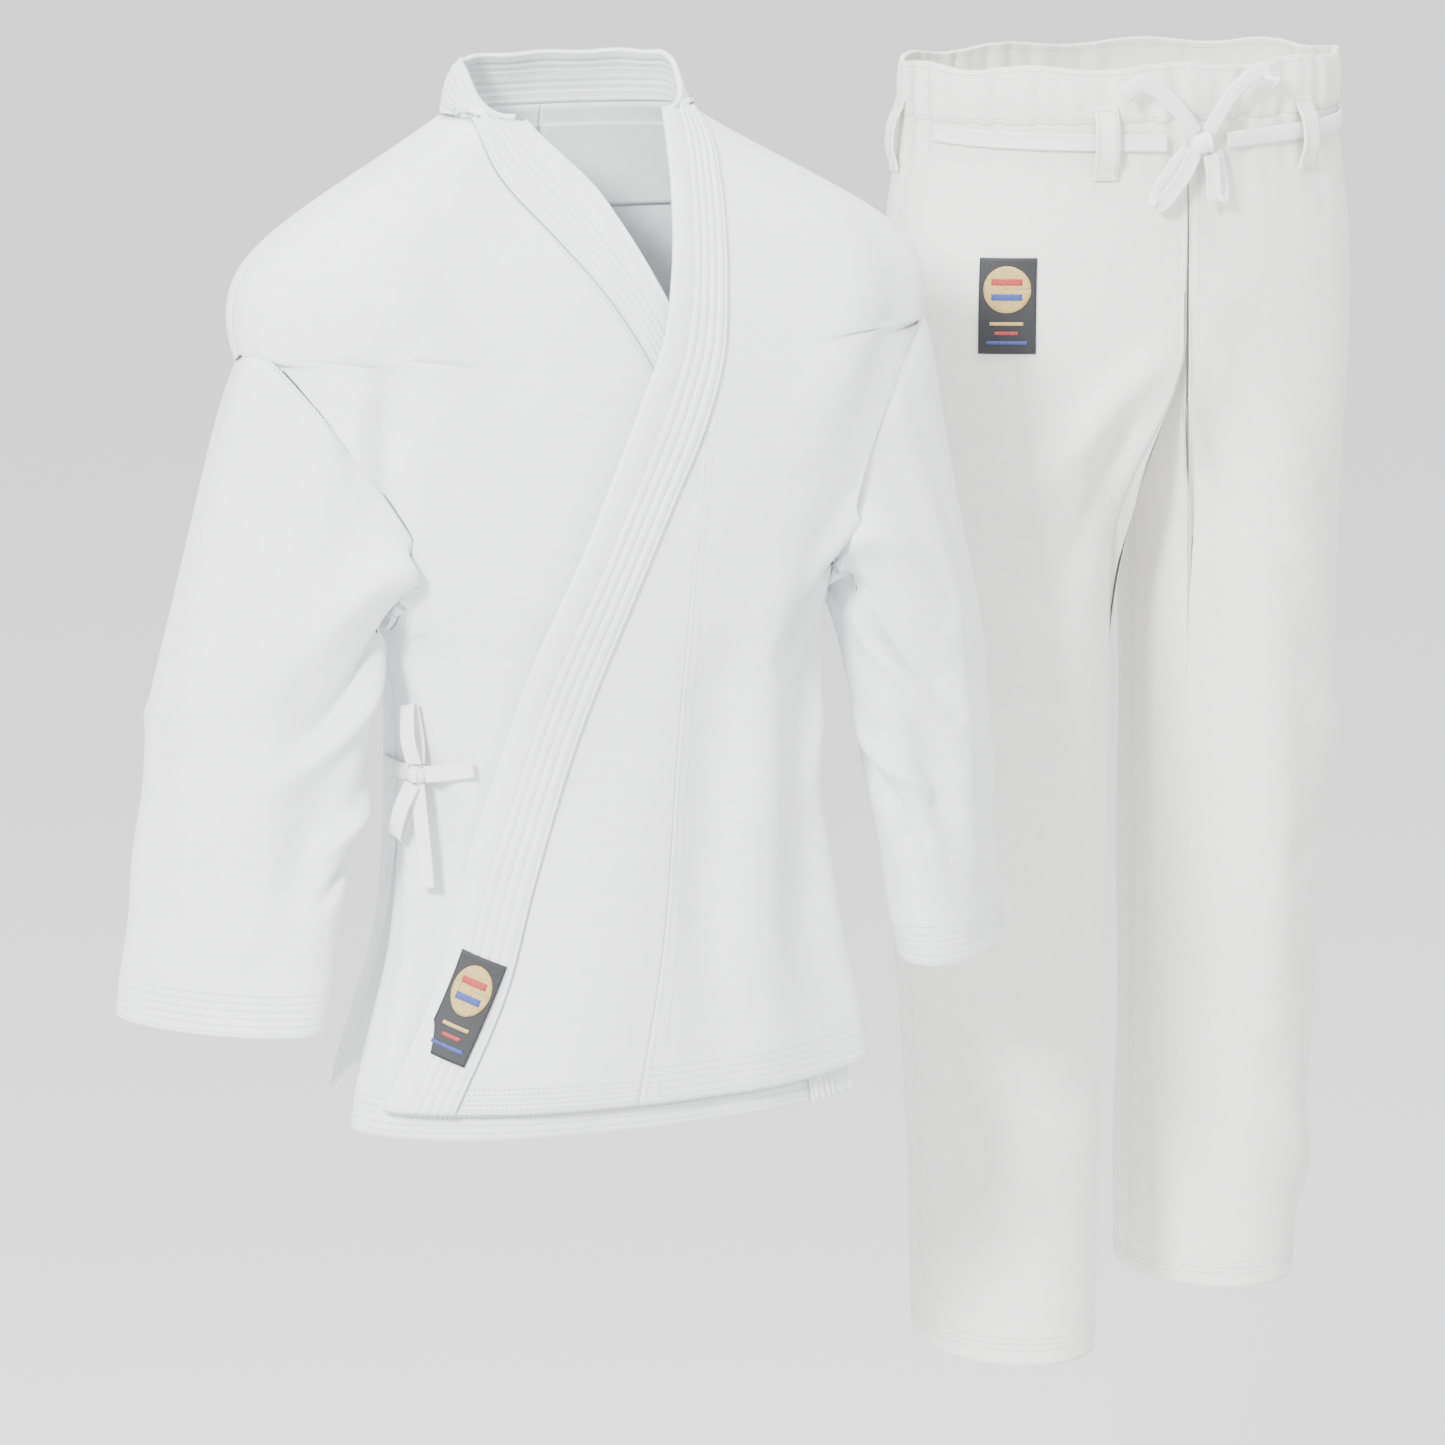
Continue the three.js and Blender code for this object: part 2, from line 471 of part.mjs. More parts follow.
function badge(parent, name, centre, acrossTo, upTo) {
  const across = acrossTo.clone().normalize();
  const up = upTo.clone().addScaledVector(across, -upTo.dot(across)).normalize();
  const out = across.clone().cross(up);
  const box = new THREE.BoxGeometry(BADGE_WIDTH, BADGE_HEIGHT, BADGE_THICK);
  const placed = new THREE.Matrix4().makeBasis(across, up, out);
  placed.setPosition(centre.clone().addScaledVector(out, BADGE_THICK / 2));
  addMesh(parent, name, box.applyMatrix4(placed), badgeBlack);
}
const LAPEL_BADGE_DROP = 640;
const LAPEL_BADGE_SEAT = LAPEL_THICK - CLOTH + 1; // stiff badge just clear of the curved lapel under it
{
  const middle = (drop) => {
    const z = -drop;
    const free = torso(angleAtX(throughKnots(overFreeKnots, drop), z), z);
    const seam = torso(angleAtX(throughKnots(overSeamKnots, drop), z), z);
    const half = (angleAtX(free.x, z) + angleAtX(seam.x, z)) / 2;
    return { centre: torso(half, z), across: torso(half + 4, z).sub(torso(half - 4, z)) };
  };
  const here = middle(LAPEL_BADGE_DROP);
  const up = middle(LAPEL_BADGE_DROP - 30).centre.sub(middle(LAPEL_BADGE_DROP + 30).centre);
  const out = here.across.clone().cross(up).normalize();
  badge(jacket, 'jacket_badge', here.centre.addScaledVector(out, LAPEL_BADGE_SEAT), here.across, up);
}

// ---- Trousers ------------------------------------------------------------------------------------
// In the trousers' own group z is 0 at the waist edge and negative below; x and y are from the
// middle of the waist.
const hipWidthKnots = [
  [-10, TROUSER_WAIST_HALF], [0, TROUSER_WAIST_HALF], [CASING_HEIGHT, TROUSER_WAIST_HALF - 1],
  [130, HIP_HALF_WIDTH], [260, HIP_HALF_WIDTH + 2], [420, HIP_HALF_WIDTH - 4],
];
const hipDepthKnots = [
  [-10, HIP_HALF_DEPTH - 6], [0, HIP_HALF_DEPTH - 6], [130, HIP_HALF_DEPTH],
  [260, HIP_HALF_DEPTH + 1], [420, HIP_HALF_DEPTH - 4],
];
function hips(angle, z) {
  const cos = Math.cos(rad(angle));
  const y = -Math.sign(cos) * throughKnots(hipDepthKnots, -z) * Math.abs(cos) ** SQUARENESS;
  return vec(throughKnots(hipWidthKnots, -z) * Math.sin(rad(angle)), y, z);
}
const hipReach = (point) => Math.hypot(point.y, point.z + HIP_AXIS_DROP);
const hipCut = (pointAt, gap) => -firstTrue(
  (drop) => hipReach(pointAt(-drop)) > HIP_CUT_RADIUS + gap, HIP_AXIS_DROP + 1, 330,
);
function pushReach(point, limit, wanted) {
  const reach = hipReach(point);
  if (wanted(reach, limit)) {
    point.y *= limit / reach;
    point.z = -HIP_AXIS_DROP + ((point.z + HIP_AXIS_DROP) * limit) / reach;
  }
  return point;
}
const HIP_GAP = 1.6; // between seat and legs, so that they can turn
const aboveCut = (p) => (p.z < -HIP_AXIS_DROP
  ? pushReach(p, HIP_CUT_RADIUS - HIP_GAP / 2, (reach, limit) => reach > limit) : p);
const belowCut = (p) => pushReach(p, HIP_CUT_RADIUS + HIP_GAP / 2, (reach, limit) => reach < limit);
const SEAT_SEAM = 0.12; // half the gap of the centre seams, in degrees

addMesh(trousers, 'waist_casing', sheetSolid((u, v) => hips(-u * 360, lerp(0, -CASING_HEIGHT, v)),
  36, 1, { ring: true, outer: 0, inner: -2 * CLOTH }), canvasWarm);
for (const [word, side] of [['left', 1], ['right', -1]]) {
  const seat = (u, v) => {
    const angle = side * lerp(SEAT_SEAM, 180 - SEAT_SEAM, side > 0 ? 1 - u : u);
    return hips(angle, lerp(-CASING_HEIGHT - GAP, hipCut((z) => hips(angle, z), -HIP_GAP / 2), v));
  };
  addMesh(trousers, `${word}_seat_panel`, sheetSolid(seat, 16, 5, { keep: aboveCut }), canvasWarm);
}

const GUSSET_HALF_WIDTH = 34;
const cutFrontAngle = 44; // the crotch gusset runs under the body between these angles
{
  const radius = HIP_CUT_RADIUS - HIP_GAP / 2 - 1;
  const saddle = (u, v) => {
    const angle = rad(lerp(-cutFrontAngle, cutFrontAngle, v));
    const half = GUSSET_HALF_WIDTH * (1 - 0.55 * Math.abs(v - 0.5) * 2);
    return vec(lerp(half, -half, u), radius * Math.sin(angle),
      -HIP_AXIS_DROP - radius * Math.cos(angle));
  };
  addMesh(trousers, 'crotch_gusset', sheetSolid(saddle, 4, 12), canvasWarm);
}

const LEG_INNER_X = 1; // the legs' inner walls, from the middle
const OUTER_SHARE = 0.6; // share of the panel that follows the outside of the leg
const legDrop = (side) => TROUSERS_LENGTH + (side > 0 ? -14 : 0);
function legPoint(side, s, v) {
  const onHip = (z) => {
    if (s < OUTER_SHARE) {
      const point = hips((180 * s) / OUTER_SHARE, z);
      return point.setX(Math.max(point.x, LEG_INNER_X));
    }
    const share = (s - OUTER_SHARE) / (1 - OUTER_SHARE);
    const deep = hips(180, z).y;
    return vec(LEG_INNER_X, lerp(deep, -deep, share), z);
  };
  const top = hipCut(onHip, HIP_GAP / 2);
  const z = lerp(top, -legDrop(side), v);
  const down = clamp((-z - 200) / (TROUSERS_LENGTH - 200), 0, 1);
  const angle = rad(s < OUTER_SHARE ? (180 * s) / OUTER_SHARE
    : 180 + (180 * (s - OUTER_SHARE)) / (1 - OUTER_SHARE));
  const halfWidth = lerp(LEG_HEM_HALF_WIDTH + 18, LEG_HEM_HALF_WIDTH, down);
  const halfDepth = lerp(LEG_HEM_HALF_DEPTH + 10, LEG_HEM_HALF_DEPTH, down);
  const round = vec(lerp(100, LEG_SPREAD, down) + halfWidth * Math.sin(angle),
    side * LEG_STRIDE * down ** 1.4 - halfDepth * Math.cos(angle), z);
  const point = onHip(z).lerp(round, smooth(-z, 190, 470));
  point.x = Math.max(point.x, LEG_INNER_X);
  return vec(side * point.x, point.y, point.z);
}
for (const [word, side] of [['left', 1], ['right', -1]]) {
  const around = (u) => (side > 0 ? 1 - u : u);
  const insideOf = (p) => {
    const held = belowCut(p);
    return held.setX(side * Math.max(side * held.x, LEG_INNER_X - 0.4));
  };
  addMesh(trousers, `${word}_leg`, sheetSolid((u, v) => legPoint(side, around(u), v), 24, 11,
    { ring: true, outer: 0, inner: -CLOTH, keep: insideOf }), canvasWarm);
  const facing = (u, v) => legPoint(side, around(u), lerp(0.972, 0.997, v));
  addMesh(trousers, `${word}_leg_hem_facing`, sheetSolid(facing, 24, 1, { ring: true, ...FACING }),
    canvasWarm);
}

// Belt loops: flat tapes bowed off the waist, one end sewn above and one below the casing seam.
const LOOP_THICK = 2;
const LOOP_TOP = 30;
const LOOP_BOW = 8;
const beltLoops = [['front_right', -22], ['front_left', 38], ['side_right', -97], ['side_left', 97],
  ['back', 180]];
for (const [word, angle] of beltLoops) {
  const points = [0, 0.12, 0.3, 0.5, 0.7, 0.88, 1].map((t) => {
    const point = hips(angle, -LOOP_TOP - BELT_LOOP_HEIGHT * t);
    const out = vec(point.x, point.y * 2.2, 0).normalize();
    const bow = LOOP_BOW * Math.sin(Math.PI * clamp((t - 0.1) / 0.8, 0, 1)) ** 0.5;
    return point.addScaledVector(out, 2.4 + bow);
  });
  const tangent = hips(angle + 2, -60).sub(hips(angle - 2, -60));
  addMesh(trousers, `${word}_belt_loop`, tapeSolid(points, tangent, BELT_LOOP_WIDTH, LOOP_THICK, 12),
    canvasWarm);
}

// Drawstring: out of the casing at the sides and across the front, tied in a bow in the middle.
const CORD_DROP = CASING_HEIGHT + 12;
const knotDrop = CORD_DROP + 4;
const cordOff = 4.4; // between the waist and the bowed belt loops
const onWaist = (angle, drop, off) => {
  const point = hips(angle, -drop);
  return point.addScaledVector(vec(point.x, point.y * 2.2, 0).normalize(), off);
};
const bowKnot = onWaist(2, knotDrop, 8);
const KNOT_HALF = 8;
{
  const run = (from, to) => [0, 0.2, 0.4, 0.6, 0.8, 0.93].map((t) => onWaist(lerp(from, to, t),
    lerp(CORD_DROP - 4, knotDrop, t), t > 0.9 ? 6.5 : cordOff - 0.4));
  const across = vec(0, 0, 1);
  addMesh(trousers, 'drawstring_right', tapeSolid(run(-78, -1), across, CORD_WIDTH, CORD_THICK, 14),
    tapeWhite);
  addMesh(trousers, 'drawstring_left', tapeSolid(run(78, 5), across, CORD_WIDTH, CORD_THICK, 14),
    tapeWhite);
  const knot = new THREE.SphereGeometry(KNOT_HALF, 12, 8);
  knot.scale(1.1, 0.8, 0.9).translate(bowKnot.x, bowKnot.y - 2.5, bowKnot.z);
  addMesh(trousers, 'drawstring_knot', knot, tapeWhite);
  const ribbon = (name, list, side) => addMesh(trousers, name, tapeSolid(list.map(([x, y, z]) => vec(
    bowKnot.x + x, bowKnot.y - 2.5 + y, bowKnot.z + z,
  )), side, CORD_WIDTH, CORD_THICK, 12), tapeWhite);
  ribbon('drawstring_left_bow', [[-7, -3, -6], [-18, -5, -24], [-36, -6, -44], [-42, -3, -46],
    [-38, -1, -36], [-24, 0, -18], [-11, 0.5, -5]], vec(0.8, 0, -0.6));
  ribbon('drawstring_right_bow', [[5, -6.5, -9], [8, -6, -22], [8, -6, -36], [13, -4, -40],
    [17, -1, -34], [16, 0.5, -20], [13, 1, -7]], vec(1, 0, 0.2));
  ribbon('drawstring_left_tail', [[-6, -1, 8], [-14, -3, 18], [-26, -4, 30], [-40, -4, 38]],
    vec(0.7, 0, 0.7));
  ribbon('drawstring_right_tail', [[6, -1, 8], [14, -3, 20], [26, -4, 36], [42, -5, 48]],
    vec(0.75, 0, -0.65));
}
{
  const at = (angle, drop) => hips(angle, -drop);
  const centre = at(-47, 185).addScaledVector(at(-47, 185).setZ(0).normalize(), 3);
  badge(trousers, 'trousers_badge', centre, at(-42, 185).sub(at(-52, 185)),
    at(-47, 150).sub(at(-47, 220)));
}

export default uniform;
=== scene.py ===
import math

import bpy
import numpy as np
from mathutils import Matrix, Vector


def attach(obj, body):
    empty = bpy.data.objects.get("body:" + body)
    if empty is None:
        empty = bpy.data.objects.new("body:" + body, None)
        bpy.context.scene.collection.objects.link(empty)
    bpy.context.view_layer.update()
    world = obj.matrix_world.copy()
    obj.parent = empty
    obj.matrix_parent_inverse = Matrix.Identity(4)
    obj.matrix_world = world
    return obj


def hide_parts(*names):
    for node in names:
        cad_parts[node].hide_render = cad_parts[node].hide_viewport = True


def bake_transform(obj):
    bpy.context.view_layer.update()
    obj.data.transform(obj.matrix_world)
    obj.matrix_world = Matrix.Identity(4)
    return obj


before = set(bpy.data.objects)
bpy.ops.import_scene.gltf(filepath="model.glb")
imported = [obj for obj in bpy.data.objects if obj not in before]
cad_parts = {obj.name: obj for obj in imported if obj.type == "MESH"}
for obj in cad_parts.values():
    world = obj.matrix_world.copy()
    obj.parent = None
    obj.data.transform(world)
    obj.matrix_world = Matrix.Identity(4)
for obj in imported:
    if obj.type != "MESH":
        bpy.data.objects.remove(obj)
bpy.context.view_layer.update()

# ---- Back of the jacket ----
# Two panels of heavy cotton canvas joined down the middle of the back. The seam is felled and
# double stitched, and the panels meet the fronts at the shoulders and down to the side vents.
CLOTH = 0.0014  # one canvas panel with its turnings
VENT_TOP = 0.515  # below the neck level
JACKET_DROP = 0.718
TOP_DROP = 0.006
BODY_WIDTH = [
    (-0.02, 0.060), (0.0, 0.088), (0.112, 0.264), (0.200, 0.262), (0.262, 0.238), (0.320, 0.198),
    (0.378, 0.171), (0.480, 0.160), (0.600, 0.172), (JACKET_DROP, 0.208), (JACKET_DROP + 0.04, 0.216),
]
BODY_DEPTH = [
    (-0.02, 0.042), (0.0, 0.048), (0.121, 0.088), (0.207, 0.104), (0.285, 0.110), (0.480, 0.111),
    (0.600, 0.116), (0.820, 0.125),
]
BODY_MIDDLE = [
    (-0.02, 0.0), (0.0, 0.0), (0.121, -0.022), (0.207, -0.032), (0.285, -0.042), (0.480, -0.050),
    (0.600, -0.052), (0.820, -0.058),
]
PIVOT_Y = -0.020  # the shoulder's own axis, which the armhole seam runs round
PIVOT_Z = -0.130


def smooth(t, low, high):
    """0 below low, 1 above high, and an S curve between them."""
    t = np.clip((t - low) / (high - low), 0, 1)
    return t * t * (3 - 2 * t)


def knots(at, pairs):
    """A smooth curve through (position, value) pairs, read at an array of positions."""
    x = np.array([p[0] for p in pairs])
    y = np.array([p[1] for p in pairs])
    at = np.clip(np.asarray(at, float), x[0], x[-1])
    slope = np.gradient(y, x)
    i = np.clip(np.searchsorted(x, at) - 1, 0, len(x) - 2)
    h = x[i + 1] - x[i]
    t = (at - x[i]) / h
    start = (1 + 2 * t) * (1 - t) ** 2 * y[i] + t * (1 - t) ** 2 * h * slope[i]
    end = t * t * (3 - 2 * t) * y[i + 1] + t * t * (t - 1) * h * slope[i + 1]
    return start + end


def torso(angle, z):
    """The jacket body's surface: angle 0 is the front, 90 the wearer's left, 180 the back."""
    cos = np.cos(np.radians(angle))
    depth = knots(-z, BODY_DEPTH) * np.sign(cos) * np.abs(cos) ** 0.8
    x = knots(-z, BODY_WIDTH) * np.sin(np.radians(angle))
    return np.stack([x, knots(-z, BODY_MIDDLE) - depth, z + 0 * x], -1)


def seam_x(p):
    """How far out the body may reach before the armhole seam."""
    reach = np.hypot(p[..., 1] - PIVOT_Y, p[..., 2] - PIVOT_Z)
    return np.maximum(0.1725, 0.297 - 0.65 * reach)


def side_edge(z, vent, back):
    """The angle where a front (back=False) or back panel ends sideways."""
    fold = 1 if back else -1
    edge = 90 + fold * (0.02 + vent * np.clip((-z - VENT_TOP) / (JACKET_DROP - VENT_TOP), 0, None))
    inner = 178.0 if back else 2.0
    out = []
    for height, limit in zip(np.ravel(z), np.ravel(edge)):
        trial = np.linspace(limit, inner, 400)
        points = torso(trial, np.full_like(trial, height))
        inside = points[:, 0] < seam_x(points) - 0.0002
        start = 0 if height > -0.12 or height < -0.40 else int(np.argmax(inside))
        out.append(trial[start])
    return np.array(out).reshape(np.shape(z))


def normals_of(grid, ring=False):
    """Unit normals of a grid of points, facing the way its rows and columns turn."""
    if ring:
        across = np.roll(grid, -1, 1) - np.roll(grid, 1, 1)
    else:
        across = np.gradient(grid, axis=1)
    normal = np.cross(across, np.gradient(grid, axis=0))
    return normal / np.maximum(np.linalg.norm(normal, axis=2, keepdims=True), 1e-9)


FOLD_DEPTH = 1.9  # how strongly every fold stands out


def ridge(s, t, start, end, width, height):
    """A rounded fold from start to end in the sheet's own coordinates, fading at both ends."""
    a = np.array(start, float)
    d = np.array(end, float) - a
    along = np.clip(((s - a[0]) * d[0] + (t - a[1]) * d[1]) / (d @ d), 0, 1)
    off = np.hypot(s - a[0] - along * d[0], t - a[1] - along * d[1])
    fade = 0.25 + 0.75 * np.sin(np.pi * np.clip(along, 0.04, 0.96)) ** 0.7
    return FOLD_DEPTH * height * np.exp(-((off / width) ** 2)) * fade


def cloth_from(name, grid, material, thick=CLOTH, ring=False):
    """A mesh with both faces and a rim from a grid of points on its outer face."""
    rows, columns = grid.shape[:2]
    inside = grid - normals_of(grid, ring) * thick
    points = np.concatenate([grid.reshape(-1, 3), inside.reshape(-1, 3)])
    step = rows * columns
    wide = columns if ring else columns - 1
    faces = []
    for j in range(rows - 1):
        for i in range(wide):
            k = (i + 1) % columns
            a, b, c, d = j * columns + i, j * columns + k, (j + 1) * columns + k, (j + 1) * columns + i
            faces.append((a, b, c, d))
            faces.append((a + step, d + step, c + step, b + step))
    for i in range(wide):
        k = (i + 1) % columns
        faces.append((i, i + step, k + step, k))
        low = (rows - 1) * columns
        faces.append((low + i, low + k, low + k + step, low + i + step))
    if not ring:
        for j in range(rows - 1):
            a, b = j * columns, (j + 1) * columns
            faces.append((a, b, b + step, a + step))
            a, b = a + columns - 1, b + columns - 1
            faces.append((a, a + step, b + step, b))
    mesh = bpy.data.meshes.new(name)
    mesh.from_pydata(points.tolist(), [], faces)
    mesh.shade_smooth()
    mesh.materials.append(material)
    obj = bpy.data.objects.new(name, mesh)
    bpy.context.scene.collection.objects.link(obj)
    return obj


def stitch_rows(name, lines, material, pitch=0.0036, long=0.0028, width=0.00055):
    """Rows of raised thread stitches: lines is a list of (points, normals) along the cloth."""
    points = []
    faces = []
    for line, normal in lines:
        step = np.linalg.norm(np.diff(line, axis=0), axis=1)
        run = np.concatenate([[0], np.cumsum(step)])
        for middle in np.arange(pitch, run[-1] - pitch / 2, pitch):
            at = [np.array([np.interp(middle + o, run, line[:, k]) for k in range(3)])
                  for o in (-long / 2, 0, long / 2)]
            up = np.array([np.interp(middle, run, normal[:, k]) for k in range(3)])
            side = np.cross(at[2] - at[0], up)
            side = side / max(np.linalg.norm(side), 1e-9) * width
            n = len(points)
            lift = up * 0.00042
            points += [at[0], at[2], at[1] + side, at[1] - side, at[1] + lift, at[1] - lift]
            faces += [(n, n + 2, n + 4), (n, n + 4, n + 3), (n + 1, n + 4, n + 2), (n + 1, n + 3, n + 4)]
            faces += [(n, n + 5, n + 2), (n, n + 3, n + 5), (n + 1, n + 2, n + 5), (n + 1, n + 5, n + 3)]
    mesh = bpy.data.meshes.new(name)
    mesh.from_pydata([tuple(p) for p in points], [], faces)
    mesh.shade_smooth()
    mesh.materials.append(material)
    obj = bpy.data.objects.new(name, mesh)
    bpy.context.scene.collection.objects.link(obj)
    return obj


def line_on(grid, path, ring=False):
    """(points, normals) along a path of (across, down) shares of a grid."""
    rows, columns = grid.shape[:2]
    normal = normals_of(grid, ring)
    if ring:
        grid = np.concatenate([grid, grid[:, :1]], 1)
        normal = np.concatenate([normal, normal[:, :1]], 1)
        columns += 1
    u = np.clip(np.array([p[0] for p in path]), 0, 1) * (columns - 1)
    v = np.clip(np.array([p[1] for p in path]), 0, 1) * (rows - 1)
    i = np.minimum(u.astype(int), columns - 2)
    j = np.minimum(v.astype(int), rows - 2)
    fu = (u - i)[:, None]
    fv = (v - j)[:, None]

    def read(a):
        top = a[j, i] * (1 - fu) + a[j, i + 1] * fu
        return top * (1 - fv) + (a[j + 1, i] * (1 - fu) + a[j + 1, i + 1] * fu) * fv

    return read(grid), read(normal)


def across_row(v, start=0.0, end=1.0, count=240):
    """A path from side to side of a sheet at one share of its length."""
    return [(u, v) for u in np.linspace(start, end, count)]


def down_row(u, start=0.0, end=1.0, count=300):
    """A path down a sheet at one share of its width."""
    return [(u, v) for v in np.linspace(start, end, count)]


def declare(grid):
    """Measures the flat cut of a cloth panel along its grid's rows and columns, but keeps and returns
    nothing.
    """
    wide = np.linalg.norm(np.diff(grid, axis=1), axis=2).sum(1)
    long = np.linalg.norm(np.diff(grid, axis=0), axis=2).sum(0)
    width = float(wide.max())
    length = float(long.max())
    area = float(wide.mean() * long.mean())
    area = min(max(area, 0.31 * width * length), width * length)


def canvas(name, tint, weave=0.00042, depth=0.00016):
    """Plain-weave cotton canvas: crossed threads, faint yarn slubs and a soft nap."""
    material = bpy.data.materials.new(name)
    material.use_nodes = True
    nodes = material.node_tree.nodes
    link = material.node_tree.links.new
    shader = nodes["Principled BSDF"]
    shader.inputs["Roughness"].default_value = 0.88
    shader.inputs["Sheen Weight"].default_value = 0.22
    shader.inputs["Sheen Roughness"].default_value = 0.6
    shader.inputs["Specular IOR Level"].default_value = 0.22
    place = nodes.new("ShaderNodeTexCoord")
    slub = nodes.new("ShaderNodeTexNoise")
    slub.inputs["Scale"].default_value = 90
    slub.inputs["Detail"].default_value = 6
    link(place.outputs["Object"], slub.inputs["Vector"])
    cloud = nodes.new("ShaderNodeTexNoise")
    cloud.inputs["Scale"].default_value = 5
    cloud.inputs["Detail"].default_value = 3
    link(place.outputs["Object"], cloud.inputs["Vector"])
    mixed = nodes.new("ShaderNodeMath")
    mixed.operation = "ADD"
    link(slub.outputs["Fac"], mixed.inputs[0])
    link(cloud.outputs["Fac"], mixed.inputs[1])
    ramp = nodes.new("ShaderNodeValToRGB")
    ramp.color_ramp.elements[0].position = 0.62
    ramp.color_ramp.elements[0].color = (*[c * 0.93 for c in tint], 1)
    ramp.color_ramp.elements[1].position = 1.0
    ramp.color_ramp.elements[1].color = (*tint, 1)
    half = nodes.new("ShaderNodeMath")
    half.operation = "MULTIPLY"
    half.inputs[1].default_value = 0.8
    link(mixed.outputs[0], half.inputs[0])
    link(half.outputs[0], ramp.inputs["Fac"])
    link(ramp.outputs["Color"], shader.inputs["Base Color"])
    threads = []
    for direction in ("X", "Z"):
        wave = nodes.new("ShaderNodeTexWave")
        wave.bands_direction = direction
        wave.inputs["Scale"].default_value = 0.314 / weave
        wave.inputs["Distortion"].default_value = 1.2
        wave.inputs["Detail"].default_value = 1
        link(place.outputs["Object"], wave.inputs["Vector"])
        threads.append(wave)
    weft = nodes.new("ShaderNodeMath")
    weft.operation = "ADD"
    link(threads[0].outputs["Fac"], weft.inputs[0])
    link(threads[1].outputs["Fac"], weft.inputs[1])
    rough = nodes.new("ShaderNodeMath")
    rough.operation = "ADD"
    link(weft.outputs[0], rough.inputs[0])
    link(slub.outputs["Fac"], rough.inputs[1])
    bump = nodes.new("ShaderNodeBump")
    bump.inputs["Strength"].default_value = 0.5
    bump.inputs["Distance"].default_value = depth
    link(rough.outputs[0], bump.inputs["Height"])
    link(bump.outputs["Normal"], shader.inputs["Normal"])
    return material


jacket_canvas = canvas("jacket_canvas", (0.865, 0.875, 0.89))
# The stitching thread is white; its grey tint is painted shade standing for the shadows round the raised
# stitches.
stitch_thread_painted_shade = canvas("stitching_thread_painted_shade", (0.60, 0.605, 0.615), weave=0.0002)


def dress(nodes=()):
    """Hides the CAD nodes that a piece stands for."""
    if nodes:
        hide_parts(*nodes)


def body_grid(left, right, top, bottom, columns, rows, sunk=None, folds=None):
    """Points on the jacket body between two edge angles, given as functions of height."""
    z = -np.linspace(top, bottom, rows)
    low = left(z)[:, None]
    high = right(z)[:, None]
    u = np.linspace(0, 1, columns)[None, :]
    angle = low + (high - low) * u
    height = np.repeat(z[:, None], columns, 1)
    grid = torso(angle, height)
    outward = -normals_of(grid)
    depth = np.zeros_like(angle) if sunk is None else -sunk(angle, height)
    if folds is not None:
        depth = depth + folds(angle * 0.0030, height)
    return grid + outward * depth[..., None]


def back_folds(s, z):
    """Slack of the back: long soft folds falling from the shoulder blades and over the seat."""
    s = np.where(s < 0, s + 1.08, s)
    total = ridge(s, z, (0.46, -0.16), (0.40, -0.62), 0.028, 0.006)
    total += ridge(s, z, (0.62, -0.16), (0.68, -0.62), 0.028, 0.006)
    total += ridge(s, z, (0.54, -0.35), (0.53, -0.74), 0.030, -0.005)
    total += ridge(s, z, (0.33, -0.33), (0.46, -0.46), 0.020, 0.005)
    total += ridge(s, z, (0.75, -0.33), (0.62, -0.46), 0.020, 0.005)
    edge = smooth(np.abs(s - 0.54), 0.255, 0.20) * smooth(-z, 0.02, 0.12)
    return (total + 0.0016 * np.sin(z * 31 + s * 14) + 0.0012 * np.sin(s * 47 - z * 19)) * edge


def back_side(z):
    return side_edge(z, 3, True)


for word, side in (("left", 1), ("right", -1)):
    near = (lambda z: back_side(z)) if side > 0 else (lambda z: np.full_like(z, -179.95))
    far = (lambda z: np.full_like(z, 179.95)) if side > 0 else (lambda z: -back_side(z))
    grid = body_grid(near, far, TOP_DROP, JACKET_DROP, 60, 150, folds=back_folds)
    grid = grid[:, ::-1]
    panel = cloth_from(f"{word}_back_panel_cloth", grid, jacket_canvas)
    dress(nodes=[f"{word}_back_panel", f"{word}_back_hem_facing"])
    declare(grid)
    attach(panel, "jacket")
    middle = 0.012 if side > 0 else 0.988
    seams = [line_on(grid, down_row(middle)), line_on(grid, down_row(abs(middle - 0.035)))]
    edge = 0.975 if side > 0 else 0.025
    seams.append(line_on(grid, down_row(edge, 0.71, 0.995)))
    for row in range(5):
        seams.append(line_on(grid, across_row(0.993 - 0.0075 * row)))
    sewn = stitch_rows(f"{word}_back_stitching", seams, stitch_thread_painted_shade)
    dress()
    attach(sewn, "jacket")

# Shoulder linings and vent patches are single layers of the same canvas inside the panels.
LINING_DEPTH = 0.0034
for word, side in (("left", 1), ("right", -1)):
    for piece, first, last, top, bottom, columns in (
        ("shoulder_lining", 25.7, 88.5, TOP_DROP + 0.014, 0.084, 30),
        ("vent_patch", 1, 13, VENT_TOP - 0.030, VENT_TOP + 0.030, 8),
    ):
        def near(z, first=first):
            return back_side(z) + first

        def far(z, last=last, piece=piece):
            return back_side(z) + last if piece == "vent_patch" else np.full_like(z, 178.9)

        grid = body_grid(near, far, top, bottom, columns, 24,
                         lambda angle, z: LINING_DEPTH + 0 * angle, back_folds)
        grid = grid[:, ::-1] if side > 0 else grid * np.array([-1, 1, 1])
        patch = cloth_from(f"{word}_{piece}_cloth", grid, jacket_canvas, 0.0008)
        dress(nodes=[f"{word}_{piece}"])
        declare(grid)
        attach(patch, "jacket")

